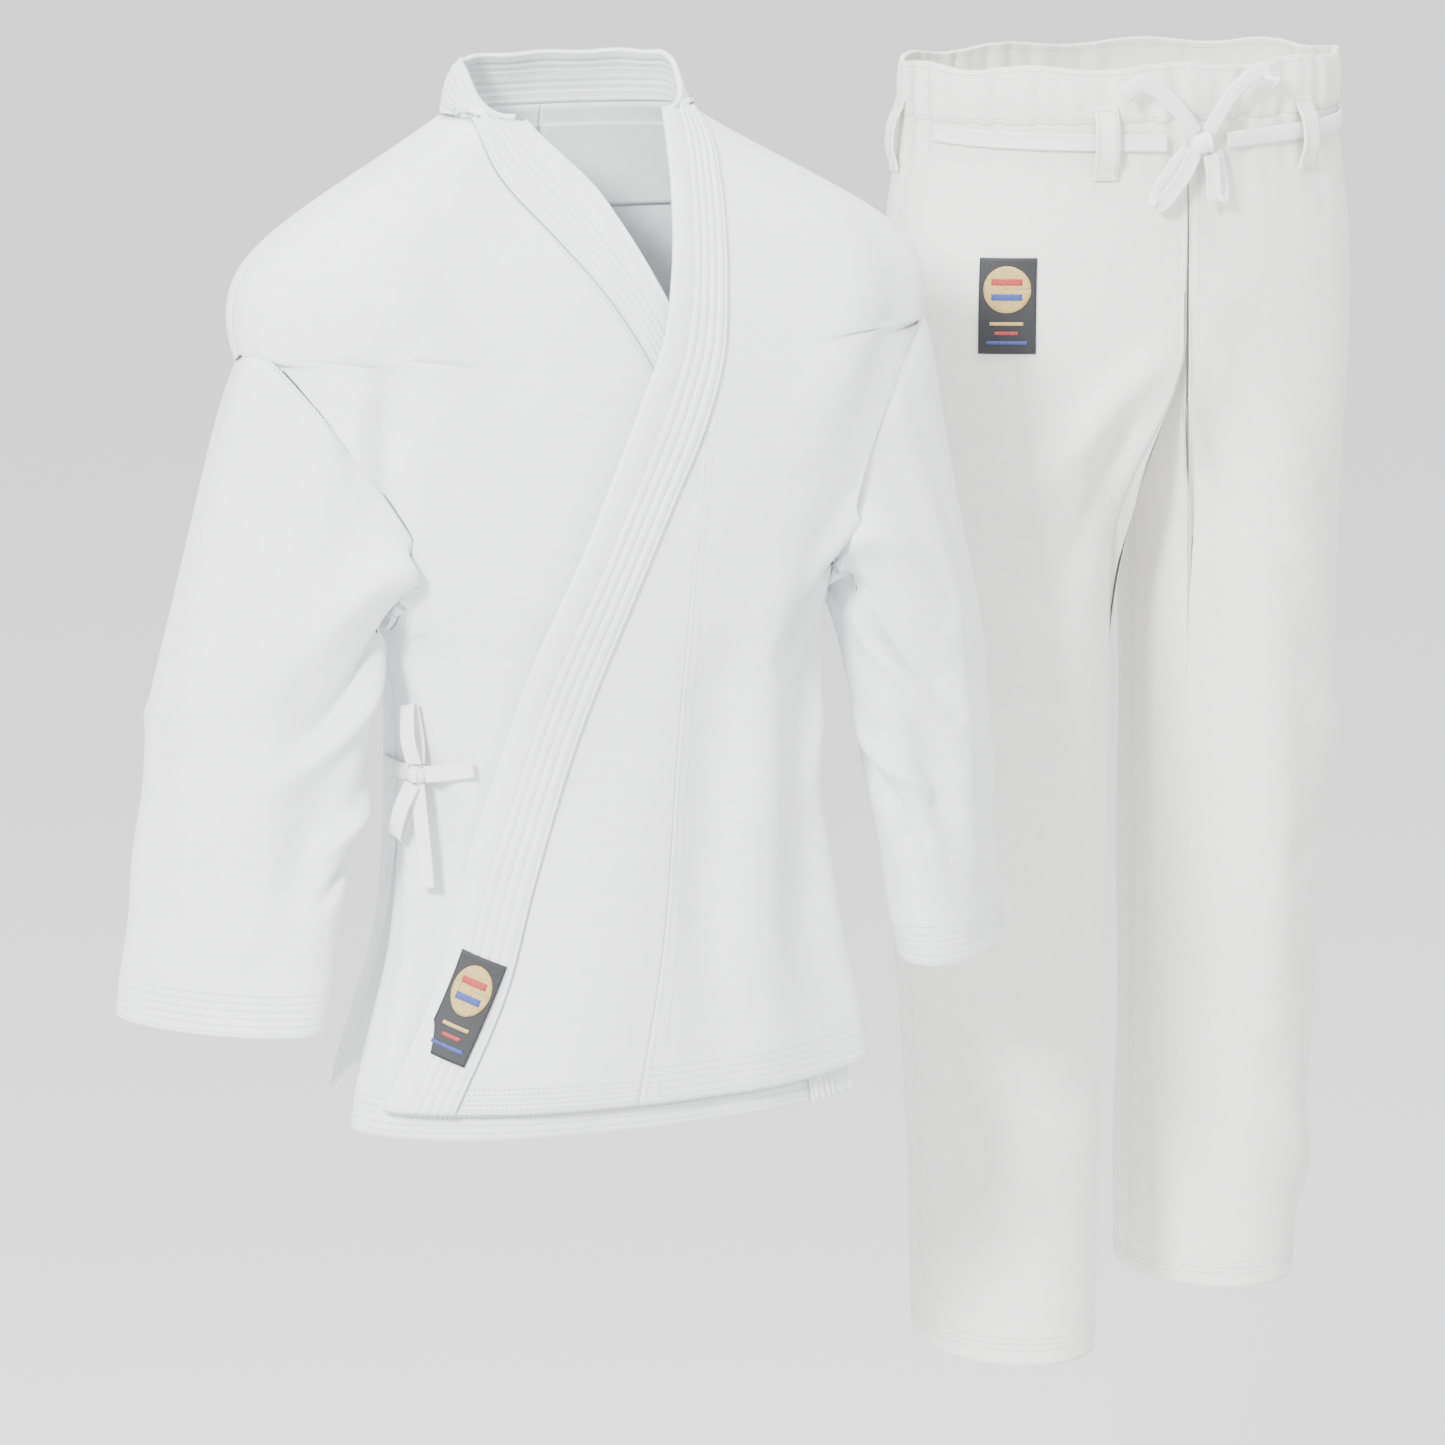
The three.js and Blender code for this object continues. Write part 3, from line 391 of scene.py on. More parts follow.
# ---- Fronts of the jacket ----
# The wearer's right front lies underneath and the left front, made of a chest panel and a sewn-on
# overlap panel, closes over it. Both are canvas, double stitched along the overlap seam, with a
# deep hem turned up inside and held by five rows of stitching.
UNDER_DROP = JACKET_DROP + 0.02
UNDER_DEPTH = 0.010  # the under front lies this far inside the other
OVER_SEAM = [
    (0.0, 0.088), (0.024, 0.095), (0.056, 0.092), (0.124, 0.080), (0.178, 0.068), (0.226, 0.047),
    (0.285, 0.014), (0.383, -0.036), (0.480, -0.072), (0.553, -0.094), (0.623, -0.113),
    (JACKET_DROP, -0.155),
]
OVER_FREE = [
    (0.0, 0.058), (0.060, 0.049), (0.121, 0.034), (0.159, 0.022), (0.207, -0.003),
    (0.285, -0.043), (0.373, -0.086), (0.478, -0.119), (0.529, -0.133), (0.607, -0.152),
    (JACKET_DROP, -0.194),
]
UNDER_SEAM = [
    (0.0, -0.088), (0.034, -0.082), (0.083, -0.046), (0.134, -0.010), (0.185, 0.018),
    (0.285, 0.046), (0.480, 0.078), (0.600, 0.106), (0.820, 0.150),
]
UNDER_FREE = [
    (0.0, -0.058), (0.020, -0.038), (0.051, -0.008), (0.080, 0.008), (0.121, 0.026),
    (0.200, 0.060), (0.285, 0.092), (0.480, 0.124), (0.600, 0.146), (0.820, 0.190),
]
OVERLAP_SEAM = [(0.222, 0.047), (0.400, 0.021), (0.570, 0.006), (JACKET_DROP, -0.022)]
FOLD_START = (0.138, -0.13, -0.500)  # a stretch across the left front, passed along with its stitching; nothing folds on it
FOLD_END = (0.036, -0.13, -0.528)


def edge_at(pairs, shift=0.0):
    """A panel edge that follows a line drawn on the body, as an angle at each height."""
    def angle(z):
        reach = np.clip((knots(-z, pairs) + shift) / knots(-z, BODY_WIDTH), -1, 1)
        return np.degrees(np.arcsin(reach))
    return angle


def front_side(z):
    return side_edge(z, 5, False)


def right_side(z):
    return -front_side(z)


def under_sink(angle, z=0):
    """How deep the under front lies: flush at its armhole, sunk below the other front."""
    return UNDER_DEPTH * smooth(angle, -89, -62) * (1 - (1 - smooth(-z, 0.32, 0.46))
                                                   * (1 - smooth(angle, -55, -20)))


def front_folds(s, z):
    """Broad soft slack of the fronts, pulled from the shoulders and armholes to the hem."""
    total = ridge(s, z, (-0.155, -0.20), (-0.205, -0.36), 0.016, 0.008)
    total += ridge(s, z, (-0.120, -0.16), (-0.190, -0.33), 0.014, -0.006)
    total += ridge(s, z, (-0.235, -0.40), (-0.150, -0.52), 0.022, 0.005)
    total += ridge(s, z, (-0.245, -0.50), (-0.205, -0.72), 0.020, 0.006)
    total += ridge(s, z, (0.200, -0.24), (0.150, -0.34), 0.016, 0.007)
    total += ridge(s, z, (0.225, -0.30), (0.120, -0.40), 0.014, -0.005)
    total += ridge(s, z, (0.240, -0.38), (0.170, -0.50), 0.020, 0.006)
    total += ridge(s, z, (0.110, -0.30), (0.085, -0.68), 0.030, 0.006)
    total += ridge(s, z, (0.190, -0.46), (0.185, -0.75), 0.026, 0.007)
    total += ridge(s, z, (0.050, -0.42), (0.035, -0.74), 0.024, -0.004)
    total += ridge(s, z, (0.150, -0.10), (0.105, -0.24), 0.026, 0.005)
    total += ridge(s, z, (-0.130, -0.08), (-0.080, -0.26), 0.024, 0.004)
    edge = smooth(0.27 - np.abs(s), 0, 0.03) * smooth(-z, 0.02, 0.10)
    return (total + 0.0014 * np.sin(z * 27 + s * 21) + 0.0010 * np.sin(s * 53 - z * 17)) * edge


def sew(name, seams, body, blend=None, material=None):
    """Adds rows of stitches, hung on the named body, or fixed in place when blend is given."""
    sewn = stitch_rows(name, seams, material or stitch_thread_painted_shade)
    dress()
    if blend:
        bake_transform(sewn)
    else:
        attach(sewn, body)
    return sewn


FLAP = ("jacket", "left_front", FOLD_START, FOLD_END)


def hem_rows(grid, count=5, spacing=0.0075, start=0.0, end=1.0):
    """Parallel rows of stitches above a hem."""
    return [line_on(grid, across_row(0.993 - spacing * row, start, end)) for row in range(count)]


grid = body_grid(right_side, edge_at(UNDER_SEAM), TOP_DROP, UNDER_DROP, 110, 160, under_sink,
                 front_folds)[:, ::-1]
panel = cloth_from("right_front_cloth", grid, jacket_canvas)
dress(nodes=["right_front_panel", "right_front_hem_facing"])
declare(grid)
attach(panel, "jacket")
seams = hem_rows(grid)
seams += [line_on(grid, down_row(0.012)), line_on(grid, down_row(0.985, 0.69, 0.99))]
sew("right_front_stitching", seams, "jacket")

grid = body_grid(lambda z: np.where(-z > 0.222, edge_at(OVERLAP_SEAM)(z), edge_at(OVER_SEAM)(z)),
                 front_side, TOP_DROP, JACKET_DROP, 110, 160, None, front_folds)[:, ::-1]
panel = cloth_from("left_chest_and_front_cloth", grid, jacket_canvas)
dress(nodes=["left_chest_panel", "left_front_panel", "left_front_hem_facing"])
declare(grid)
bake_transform(panel)
seams = hem_rows(grid)
seams += [line_on(grid, down_row(0.985, 0.30, 0.995)), line_on(grid, down_row(0.955, 0.30, 0.995))]
seams += [line_on(grid, down_row(0.015, 0.70, 0.99))]
sew("left_front_stitching", seams, None, FLAP)

grid = body_grid(edge_at(OVER_SEAM), edge_at(OVERLAP_SEAM), 0.2245, JACKET_DROP, 50, 130, None,
                 front_folds)[:, ::-1]
panel = cloth_from("left_overlap_cloth", grid, jacket_canvas, 0.0016)
dress(nodes=["left_overlap_panel"])
declare(grid)
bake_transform(panel)
sew("left_overlap_stitching", hem_rows(grid), None, FLAP)

# ---- Lapels and collar ----
# One band of folded canvas, stiffened by five parallel rows of stitching, wraps the front edges
# and stands round the back of the neck. Between the rows the band swells a little.
LAPEL_THICK = 0.0042
LAPEL_ROWS = (0.06, 0.20, 0.34, 0.48, 0.62)


def quilted(grid, rows, swell=0.0015, flip=False):
    """Swells a band between its stitch rows and rounds its free edge."""
    u = np.linspace(0, 1, grid.shape[1])
    marks = [0.0] + list(rows) + [1.0]
    lift = np.zeros_like(u)
    for a, b in zip(marks[:-1], marks[1:]):
        inside = (u >= a) & (u <= b)
        height = swell * min(1, (b - a) / 0.14) ** 0.5
        lift[inside] = height * np.sin(np.pi * (u[inside] - a) / (b - a)) ** 0.6
    lift -= 0.0022 * (1 - np.clip((1 - u) / 0.05, 0, 1)) ** 2
    return grid + normals_of(grid) * lift[None, :, None]


def lapel_band(left, right, bottom, sink, raised):
    """A lapel's grid between its two edges, swollen between the stitch rows."""
    grid = body_grid(left, right, TOP_DROP, bottom, 71, 190, sink, front_folds)[:, ::-1]
    return grid + normals_of(grid) * raised


# The over lapel: column 0 is the seam to the left front, the last column is the free edge.
grid = quilted(lapel_band(edge_at(OVER_FREE), edge_at(OVER_SEAM), JACKET_DROP, None, 0.0028),
               LAPEL_ROWS)
band = cloth_from("over_lapel_cloth", grid, jacket_canvas, LAPEL_THICK)
dress(nodes=["over_lapel", "over_lapel_top"])
declare(grid)
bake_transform(band)
seams = [line_on(grid, down_row(u, 0.002, 0.998, 700)) for u in LAPEL_ROWS]
sew("over_lapel_stitching", seams, None, FLAP)

# The under lapel lies inside the left front and shows only in the neck opening.
grid = lapel_band(edge_at(UNDER_SEAM), edge_at(UNDER_FREE), UNDER_DROP, under_sink, 0.0016)
grid = quilted(grid[:, ::-1], LAPEL_ROWS, -0.0015)[:, ::-1]
band = cloth_from("under_lapel_cloth", grid, jacket_canvas, 0.0030)
dress(nodes=["under_lapel"])
declare(grid)
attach(band, "jacket")
sew("under_lapel_stitching",
    [line_on(grid, down_row(1 - u, 0.002, 0.998, 700)) for u in LAPEL_ROWS], "jacket")

# The collar part stands 38 mm up round the neck and leans in towards its free edge.
COLLAR_RISE = 0.038
COLLAR_LEAN = 0.84


def collar_grid():
    seam_z = -0.0047
    start_seam = float(edge_at([(0.0, 0.089), (0.1, 0.089)])(np.array(seam_z)))
    start_free = float(edge_at([(0.0, 0.058), (0.1, 0.058)])(np.array(seam_z)))
    u = np.linspace(0, 1, 200)
    half = np.abs(u - 0.5) * 2
    side = np.where(u < 0.5, 1, -1)
    seam = torso(side * (180 + (start_seam - 180) * half), np.full_like(u, seam_z))
    free = torso(side * (180 + (start_free - 180) * half), np.full_like(u, seam_z))
    lift = smooth(1 - half, 0, 0.45)
    free[:, 0] *= 1 + (COLLAR_LEAN - 1) * lift
    free[:, 1] *= 1 + (COLLAR_LEAN - 1) * lift
    free[:, 2] = seam_z + COLLAR_RISE * lift
    v = np.linspace(0, 1, 41)[:, None, None]
    grid = seam[None] * (1 - v) + free[None] * v
    bulge = 0.004 * np.sin(np.pi * v[..., 0]) * lift[None, :]
    grid = grid + normals_of(grid) * bulge[..., None]
    wave = 0.0012 * np.sin(u * 41) * lift
    grid = grid + normals_of(grid) * (wave[None, :] * v[..., 0])[..., None]
    swell = np.abs(np.sin(np.pi * np.clip(v[..., 0] * 7, 0, 6))) ** 0.6 * 0.0012 * lift
    return grid + normals_of(grid) * swell[..., None]


grid = collar_grid()
grid = grid + normals_of(grid) * 0.0022
band = cloth_from("back_collar_cloth", grid, jacket_canvas, LAPEL_THICK)
dress(nodes=["back_collar"])
declare(grid)
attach(band, "jacket")
seams = [line_on(grid, across_row(k / 7, 0.09, 0.91, 500)) for k in range(1, 7)]
inside = [(line - normal * LAPEL_THICK, -normal) for line, normal in seams]
sew("back_collar_stitching", seams + inside, "jacket")

# ---- Sleeves ----
# Wide canvas tubes set into the dropped armholes with a double-stitched seam, with a diamond
# gusset under the arm and a deep cuff facing held by six rows of stitching.
SLEEVE_TOP = np.array([0.243, -0.038, -0.300])
CUFF = np.array([0.300, -0.045, -0.655])
LONG_AXIS = np.array([-0.643, -0.766, 0.0])
SHORT_AXIS = np.array([0.766, -0.643, 0.0])
GUSSET_HALF_ANGLE = 36
GUSSET_LENGTH = 0.24


def armhole(psi):
    """The armhole seam seen from its middle: 0 is up, 90 the front, 180 below."""
    radius = np.linspace(0.02, 0.19, 700)[None, :]
    y = -0.040 - radius * np.sin(np.radians(psi))[:, None]
    z = -0.262 + radius * np.cos(np.radians(psi))[:, None]
    points = np.stack([np.zeros_like(y), y, z], -1)
    x = seam_x(points) + 0.0002
    off = np.abs(y - knots(-z, BODY_MIDDLE)) / knots(-z, BODY_DEPTH)
    out = (x / knots(-z, BODY_WIDTH)) ** 2 + off ** 2.5 > 1
    first = np.argmax(out, axis=1)
    row = np.arange(len(psi))
    return np.stack([x[row, first], y[row, first], z[row, first]], -1)


def sleeve_grid(side, folds, columns=150, rows=170, start=None, end=1.0):
    """Points of a sleeve from the armhole to the cuff, column 0 at the top of the shoulder."""
    psi = np.linspace(0, 360, columns, endpoint=False)
    loop = armhole(psi)
    head = np.zeros_like(psi) if start is None else start(psi)
    v = head[None, :] + (end - head)[None, :] * np.linspace(0, 1, rows)[:, None]
    v = v[..., None]
    direction = np.stack([np.cos(np.radians(psi)), -np.sin(np.radians(psi)), 0 * psi], -1)
    long = 0.090 + (0.084 - 0.090) * v
    short = 0.050 + (0.038 - 0.050) * v
    section = SLEEVE_TOP + (CUFF - SLEEVE_TOP) * v
    section = section + LONG_AXIS * (long * (direction @ LONG_AXIS)[None, :, None])
    section = section + SHORT_AXIS * (short * (direction @ SHORT_AXIS)[None, :, None])
    w = smooth(v, 0, 0.34)
    grid = loop[None] * (1 - w) + section * w
    grid = grid + normals_of(grid, True) * folds(psi[None, :], v[..., 0])[..., None]
    grid[..., 0] = np.maximum(grid[..., 0], seam_x(grid) + 0.0002)
    if side < 0:
        grid = grid[:, (-np.arange(columns)) % columns] * np.array([-1, 1, 1])
    return grid


def turned(psi, centre):
    """Angle from centre, in metres round the sleeve."""
    return ((psi - centre + 180) % 360 - 180) * 0.0013


def sleeve_folds(psi, v):
    """Drag lines from the armpit, the ridge down the outside and the breaks at the elbow."""
    t = v * 0.42
    total = ridge(turned(psi, 120), t, (0.06, 0.00), (-0.07, 0.12), 0.014, 0.009)
    total += ridge(turned(psi, 120), t, (0.07, 0.05), (-0.05, 0.16), 0.012, -0.007)
    total += ridge(turned(psi, 120), t, (0.04, 0.10), (-0.06, 0.20), 0.013, 0.006)
    total += ridge(turned(psi, 60), t, (-0.01, 0.03), (0.02, 0.38), 0.020, 0.005)
    total += ridge(turned(psi, 20), t, (0.0, 0.02), (0.01, 0.30), 0.024, 0.005)
    total += ridge(turned(psi, 150), t, (0.03, 0.20), (-0.06, 0.26), 0.011, 0.006)
    total += ridge(turned(psi, 150), t, (0.04, 0.23), (-0.05, 0.30), 0.010, -0.006)
    total += ridge(turned(psi, 90), t, (0.02, 0.16), (-0.03, 0.40), 0.022, -0.004)
    total += ridge(turned(psi, 270), t, (-0.05, 0.02), (0.05, 0.16), 0.016, 0.007)
    total += ridge(turned(psi, 270), t, (-0.06, 0.14), (0.04, 0.24), 0.014, 0.006)
    total += ridge(turned(psi, 250), t, (0.0, 0.10), (0.01, 0.40), 0.022, 0.005)
    ease = smooth(v, 0.0, 0.10) * (1 - 0.6 * smooth(v, 0.86, 1.0))
    return total * ease + 0.0010 * np.sin(v * 23 + np.radians(psi) * 2) * ease


def gusset_head(psi):
    off = np.abs((psi % 360) - 180)
    return np.where(off < GUSSET_HALF_ANGLE, GUSSET_LENGTH * (1 - off / (GUSSET_HALF_ANGLE + 3)), 0)


for word, side in (("left", 1), ("right", -1)):
    body = f"{word}_sleeve"
    arm = ("jacket", body, (0.216 * side, -0.04, -0.268), (0.316 * side, -0.04, -0.311))
    grid = sleeve_grid(side, sleeve_folds, start=gusset_head)
    tube = cloth_from(f"{word}_sleeve_cloth", grid, jacket_canvas, ring=True)
    dress(nodes=[f"{word}_sleeve"])
    declare(grid)
    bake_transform(tube)
    seams = [line_on(grid, across_row(0.992 - 0.0155 * row, count=500), True) for row in range(6)]
    seams += [line_on(grid, across_row(0.012 + 0.014 * row, count=600), True) for row in range(2)]
    seams.append(line_on(grid, down_row(0.5, 0.02, 0.9), True))
    sew(f"{word}_sleeve_stitching", seams, None, arm)

    whole = sleeve_grid(side, sleeve_folds)
    columns = whole.shape[1]
    first = int(columns * (180 - GUSSET_HALF_ANGLE) / 360)
    last = int(columns * (180 + GUSSET_HALF_ANGLE) / 360)
    psi = np.arange(first, last + 1) * 360 / columns
    rows = 40
    share = np.linspace(0, 1, rows)[:, None] * gusset_head(psi)[None, :] * (whole.shape[0] - 1)
    low = np.minimum(share.astype(int), whole.shape[0] - 2)
    part = (share - low)[..., None]
    at = np.arange(first, last + 1)[None, :] * np.ones_like(low)
    gusset = whole[low, at] * (1 - part) + whole[low + 1, at] * part
    patch = cloth_from(f"{word}_underarm_gusset_cloth", gusset, jacket_canvas)
    dress(nodes=[f"{word}_underarm_gusset"])
    declare(gusset)
    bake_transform(patch)

    lining = whole[int(0.885 * whole.shape[0]):-1]
    lining = lining - normals_of(lining, True) * 0.0022
    facing = cloth_from(f"{word}_cuff_facing_cloth", lining, jacket_canvas, 0.0012, True)
    dress(nodes=[f"{word}_cuff_facing"])
    declare(lining)
    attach(facing, body)

# ---- Side tie and inner ties ----
# Flat twill cotton tapes, 12 mm wide. The outer pair is tied in a bow at the wearer's right side,
# where the over lapel ends; the inner pair hangs from the left side seam and the under lapel.
TIE_WIDTH = 0.012
TIE_DROP = 0.472
tape_cloth = canvas("cotton_tape", (0.90, 0.90, 0.895), weave=0.0003, depth=0.0001)


def spline(points, count):
    """A smooth open curve through points, read at count even shares."""
    p = np.array(points, float)
    p = np.concatenate([[2 * p[0] - p[1]], p, [2 * p[-1] - p[-2]]])
    t = np.linspace(0, len(points) - 1, count)
    i = np.minimum(t.astype(int), len(points) - 2)
    f = (t - i)[:, None]
    a, b, c, d = p[i], p[i + 1], p[i + 2], p[i + 3]
    return 0.5 * (2 * b + (c - a) * f + (2 * a - 5 * b + 4 * c - d) * f ** 2
                  + (3 * b - a - 3 * c + d) * f ** 3)


def tape(name, points, side, width, thick, cup=0.12, count=90, nodes=()):
    """A flat woven tape along points, lying across `side`, a little cupped across its width."""
    line = spline(points, count)
    along = np.gradient(line, axis=0)
    along /= np.linalg.norm(along, axis=1, keepdims=True)
    side = np.array(side, float)
    across = side[None, :] - along * (along @ side)[:, None]
    across /= np.linalg.norm(across, axis=1, keepdims=True)
    up = np.cross(along, across)
    u = np.linspace(-1, 1, 9)
    grid = line[:, None, :] + across[:, None, :] * (u * width / 2)[None, :, None]
    grid = grid + up[:, None, :] * ((u ** 2 - 0.4) * width * cup / 2)[None, :, None]
    grid = grid + normals_of(grid) * (thick / 2)
    obj = cloth_from(name, grid, tape_cloth, thick)
    dress(nodes)
    return obj, line



def knot(name, centre, size, first, second, nodes, body):
    """A tied knot: two short wraps of the tape crossing each other over a full core."""
    centre = np.array(centre)
    first = np.array(first, float) / np.linalg.norm(first)
    second = np.array(second, float) - first * (np.array(second) @ first)
    second /= np.linalg.norm(second)
    third = np.cross(first, second)
    turn = np.linspace(0, 2 * np.pi, 40)
    parts = []
    for k, (a, b, wide) in enumerate(((first, third, second), (second, third, first + 0.4 * third))):
        ring = [centre + (a * np.cos(t) * 0.55 + b * np.sin(t) * 0.5) * size * (1 - 0.1 * k)
                for t in turn]
        obj, _ = tape(f"{name}_wrap_{k + 1}", ring, wide, size * (0.95 - 0.2 * k), 0.0012, 0.35, 60)
        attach(obj, body)
        parts.append(obj)
    bpy.ops.mesh.primitive_ico_sphere_add(subdivisions=3, radius=size * 0.46, location=centre)
    core = bpy.context.object
    core.name = f"{name}_core"
    core.data.shade_smooth()
    core.data.materials.append(tape_cloth)
    dress(nodes)
    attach(core, body)
    return core, parts


knot_at = torso(np.array(-74.0), np.array(-TIE_DROP)) + np.array([-0.010, -0.009, 0])
outward = np.array([-0.8, -0.6, 0])
forward = np.array([0.6, -0.8, 0])
KNOT_SIZE = 0.011
knot_reach = KNOT_SIZE * 0.575 + 0.0004
core, wraps = knot("side_tie_knot", knot_at, KNOT_SIZE, forward, (0, 0, 1), ["side_tie_knot"],
                   "jacket")


def bow_loop(direction, long=0.048):
    """A bow's loop: out along one side, round its end and back to the knot."""
    stops = ((knot_reach, -0.002), (long * 0.5, -0.005), (long, -0.002), (long * 1.02, 0.003),
             (long * 0.55, 0.007), (knot_reach + 0.001, 0.0025))
    return [knot_at + direction * reach + outward * bend for reach, bend in stops]


UPPER = forward * -0.12 + np.array([0, 0, 0.99])
LOWER = forward * -0.36 + np.array([0, 0, -0.93])
for name, direction, wide in (("side_tie_upper_loop", UPPER, forward + np.array([0, 0, 0.35])),
                              ("side_tie_lower_loop", LOWER, np.array([-0.5, 0.7, 0.5]))):
    obj, line = tape(f"{name}_tape", bow_loop(direction), wide, TIE_WIDTH, 0.0011, nodes=[name])
    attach(obj, "jacket")
TAIL = 0.076
points = [knot_at + forward * 0.009 * t + outward * 0.002 * t * t
          + np.array([0, 0, -TAIL * t - knot_reach - 0.0003]) for t in (0, 0.33, 0.66, 1)]
obj, line = tape("side_tie_tail_tape", points, forward, TIE_WIDTH, 0.0011, nodes=["side_tie_tail"])
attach(obj, "jacket")


def over_body(angle, drop, off):
    """A point that far off the jacket body's surface."""
    point = torso(np.array(float(angle)), np.array(-float(drop)))
    middle = float(knots(np.array(drop), BODY_MIDDLE))
    out = np.array([point[0], point[1] - middle, 0])
    return point + out / np.linalg.norm(out) * off


sewn = [knot_at - forward * (knot_reach + 0.001) + [0, 0, 0.0015],
        over_body(-82, TIE_DROP + 0.002, 0.007), over_body(-92, TIE_DROP + 0.004, 0.0034),
        over_body(-100, TIE_DROP + 0.005, 0.0019)]
obj, _ = tape("side_tie_sewn_length", sewn, (0, 0, 1), TIE_WIDTH, 0.0012, nodes=["side_tie"])
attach(obj, "jacket")
held = [knot_at + forward * knot_reach + [0, 0, 0.0005], over_body(-63, TIE_DROP - 0.002, 0.008),
        over_body(-58, TIE_DROP - 0.004, 0.0046), over_body(-53, TIE_DROP - 0.006, 0.004)]
obj, _ = tape("lapel_tie_tape", held, (0, 0, 1), TIE_WIDTH, 0.0012, nodes=["lapel_tie"])
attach(obj, "left_front")
for word, angle, depth in (("left", 82, 0.0054), ("right", 40, 0.0194)):
    start = torso(np.array(float(angle)), np.array(-0.470))
    points = []
    for t in (0, 0.35, 0.7, 1):
        height = -0.470 - 0.150 * t
        middle = np.array([0, float(knots(np.array(0.470), BODY_MIDDLE)), height])
        at = np.array([start[0], start[1], height])
        inwards = (middle - at) / np.linalg.norm(middle - at)
        points.append(at + inwards * (depth + 0.009 * t))
    wide = (math.cos(math.radians(angle)), math.sin(math.radians(angle)), 0)
    name = f"{word}_inner_tie"
    obj, line = tape(f"{name}_tape", points, wide, TIE_WIDTH, 0.0011, nodes=[name])
    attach(obj, "jacket")

# ---- Trousers ----
# Each half is canvas from the waist casing to the hem, joined down the middle of the front and
# back with a felled seam. Soft pleats fall from the gathered casing, and the legs hang straight.
TROUSERS = np.array([0.572, 0.200, -0.004])  # middle of the waist edge
TROUSERS_LENGTH = 1.044
HIP_WIDTH = [(-0.01, 0.186), (0.0, 0.186), (0.044, 0.185), (0.130, 0.197), (0.260, 0.199),
             (0.420, 0.193)]
HIP_DEPTH = [(-0.01, 0.110), (0.0, 0.110), (0.130, 0.116), (0.260, 0.117), (0.420, 0.112)]
CASING = 0.044
HIP_AXIS = -0.108
HIP_RADIUS = 0.150
CROTCH_HALF_DEPTH = 0.112
LEFT_LEG_SHORTER = 0.014
MIDDLE_GAP = 0.001  # each half stays this far off the middle line
THIGH_DROP = 0.2
THIGH = (0.088, 0.102)  # half width and half depth of a leg at the thigh
HEM = (0.070, 0.092)
LEG_MIDDLE = 0.100  # each leg's middle, off the middle line at the thigh
LEG_SPREAD = 0.017
LEG_STRIDE = 0.042  # one leg steps forward, the other back, at the hem
LEG_SHARE = 0.8  # share of a leg's columns that follow the outside


def hips(angle, z):
    """The trousers' waist and seat, with z measured down from the waist edge."""
    cos = np.cos(np.radians(angle))
    y = -np.sign(cos) * knots(-z, HIP_DEPTH) * np.abs(cos) ** 0.8
    return np.stack([knots(-z, HIP_WIDTH) * np.sin(np.radians(angle)), y, z + 0 * y], -1)


def waist_gathers(angle, z):
    """Small uneven pleats that the drawstring pulls into the cloth, fading out below."""
    a = np.radians(angle)
    fade = np.exp(-((np.clip(-z - 0.03, 0, None) / 0.055) ** 1.4))
    wave = np.sin(a * 31 + 1.7 * np.sin(a * 5)) + 0.7 * np.sin(a * 53 + 2.1 * np.sin(a * 3 + 1))
    return 0.0018 * wave * fade * (0.65 + 0.35 * np.sin(a * 4 + 0.6))


def leg_grid(side, columns=200, rows=260):
    """One half of the trousers: the seat half opens at the middle and closes into the leg."""
    s = np.linspace(0, 1, columns, endpoint=False)
    drop_to = TROUSERS_LENGTH - (LEFT_LEG_SHORTER if side > 0 else 0)
    outer = s < LEG_SHARE
    angle = np.where(outer, 180 * s / LEG_SHARE, 180 + 180 * (s - LEG_SHARE) / (1 - LEG_SHARE))
    share = np.clip((s - LEG_SHARE) / (1 - LEG_SHARE), 0, 1)
    reach = CROTCH_HALF_DEPTH * (1 - 2 * share)
    crotch = -HIP_AXIS + np.sqrt(np.maximum(HIP_RADIUS ** 2 - reach ** 2, 0))
    top = np.where(outer, CASING - 0.002, crotch + 0.001)
    z = -(top[None, :] + (drop_to - top)[None, :] * np.linspace(0, 1, rows)[:, None])
    on_hip = hips(np.broadcast_to(np.where(outer, angle, 0), z.shape), z)
    deep = knots(-z, HIP_DEPTH)
    inner = np.stack([np.full_like(z, MIDDLE_GAP), deep * (1 - 2 * share)[None, :], z], -1)
    hip = np.where(outer[None, :, None], on_hip, inner)
    hip[..., 0] = np.maximum(hip[..., 0], MIDDLE_GAP)
    down = np.clip((-z - THIGH_DROP) / (TROUSERS_LENGTH - THIGH_DROP), 0, 1)
    width = THIGH[0] + (HEM[0] - THIGH[0]) * down
    depth = THIGH[1] + (HEM[1] - THIGH[1]) * down
    a = np.radians(np.where(outer, -50 + 280 * s / LEG_SHARE, 230 + 80 * share))[None, :]
    tube = np.stack([LEG_MIDDLE + LEG_SPREAD * down + width * np.sin(a),
                     side * LEG_STRIDE * down ** 1.4 - depth * np.cos(a), z], -1)
    apart = np.minimum(s, np.abs(s - LEG_SHARE)) / 0.05
    middle = np.where(outer, np.exp(-(apart ** 2)), 1)[None, :]
    w = smooth(-z, 0.15 + 0.065 * middle, 0.36 + 0.03 * middle)[..., None]
    grid = hip * (1 - w) + tube * w
    grid[..., 0] = np.maximum(grid[..., 0], MIDDLE_GAP)
    return grid, angle, z


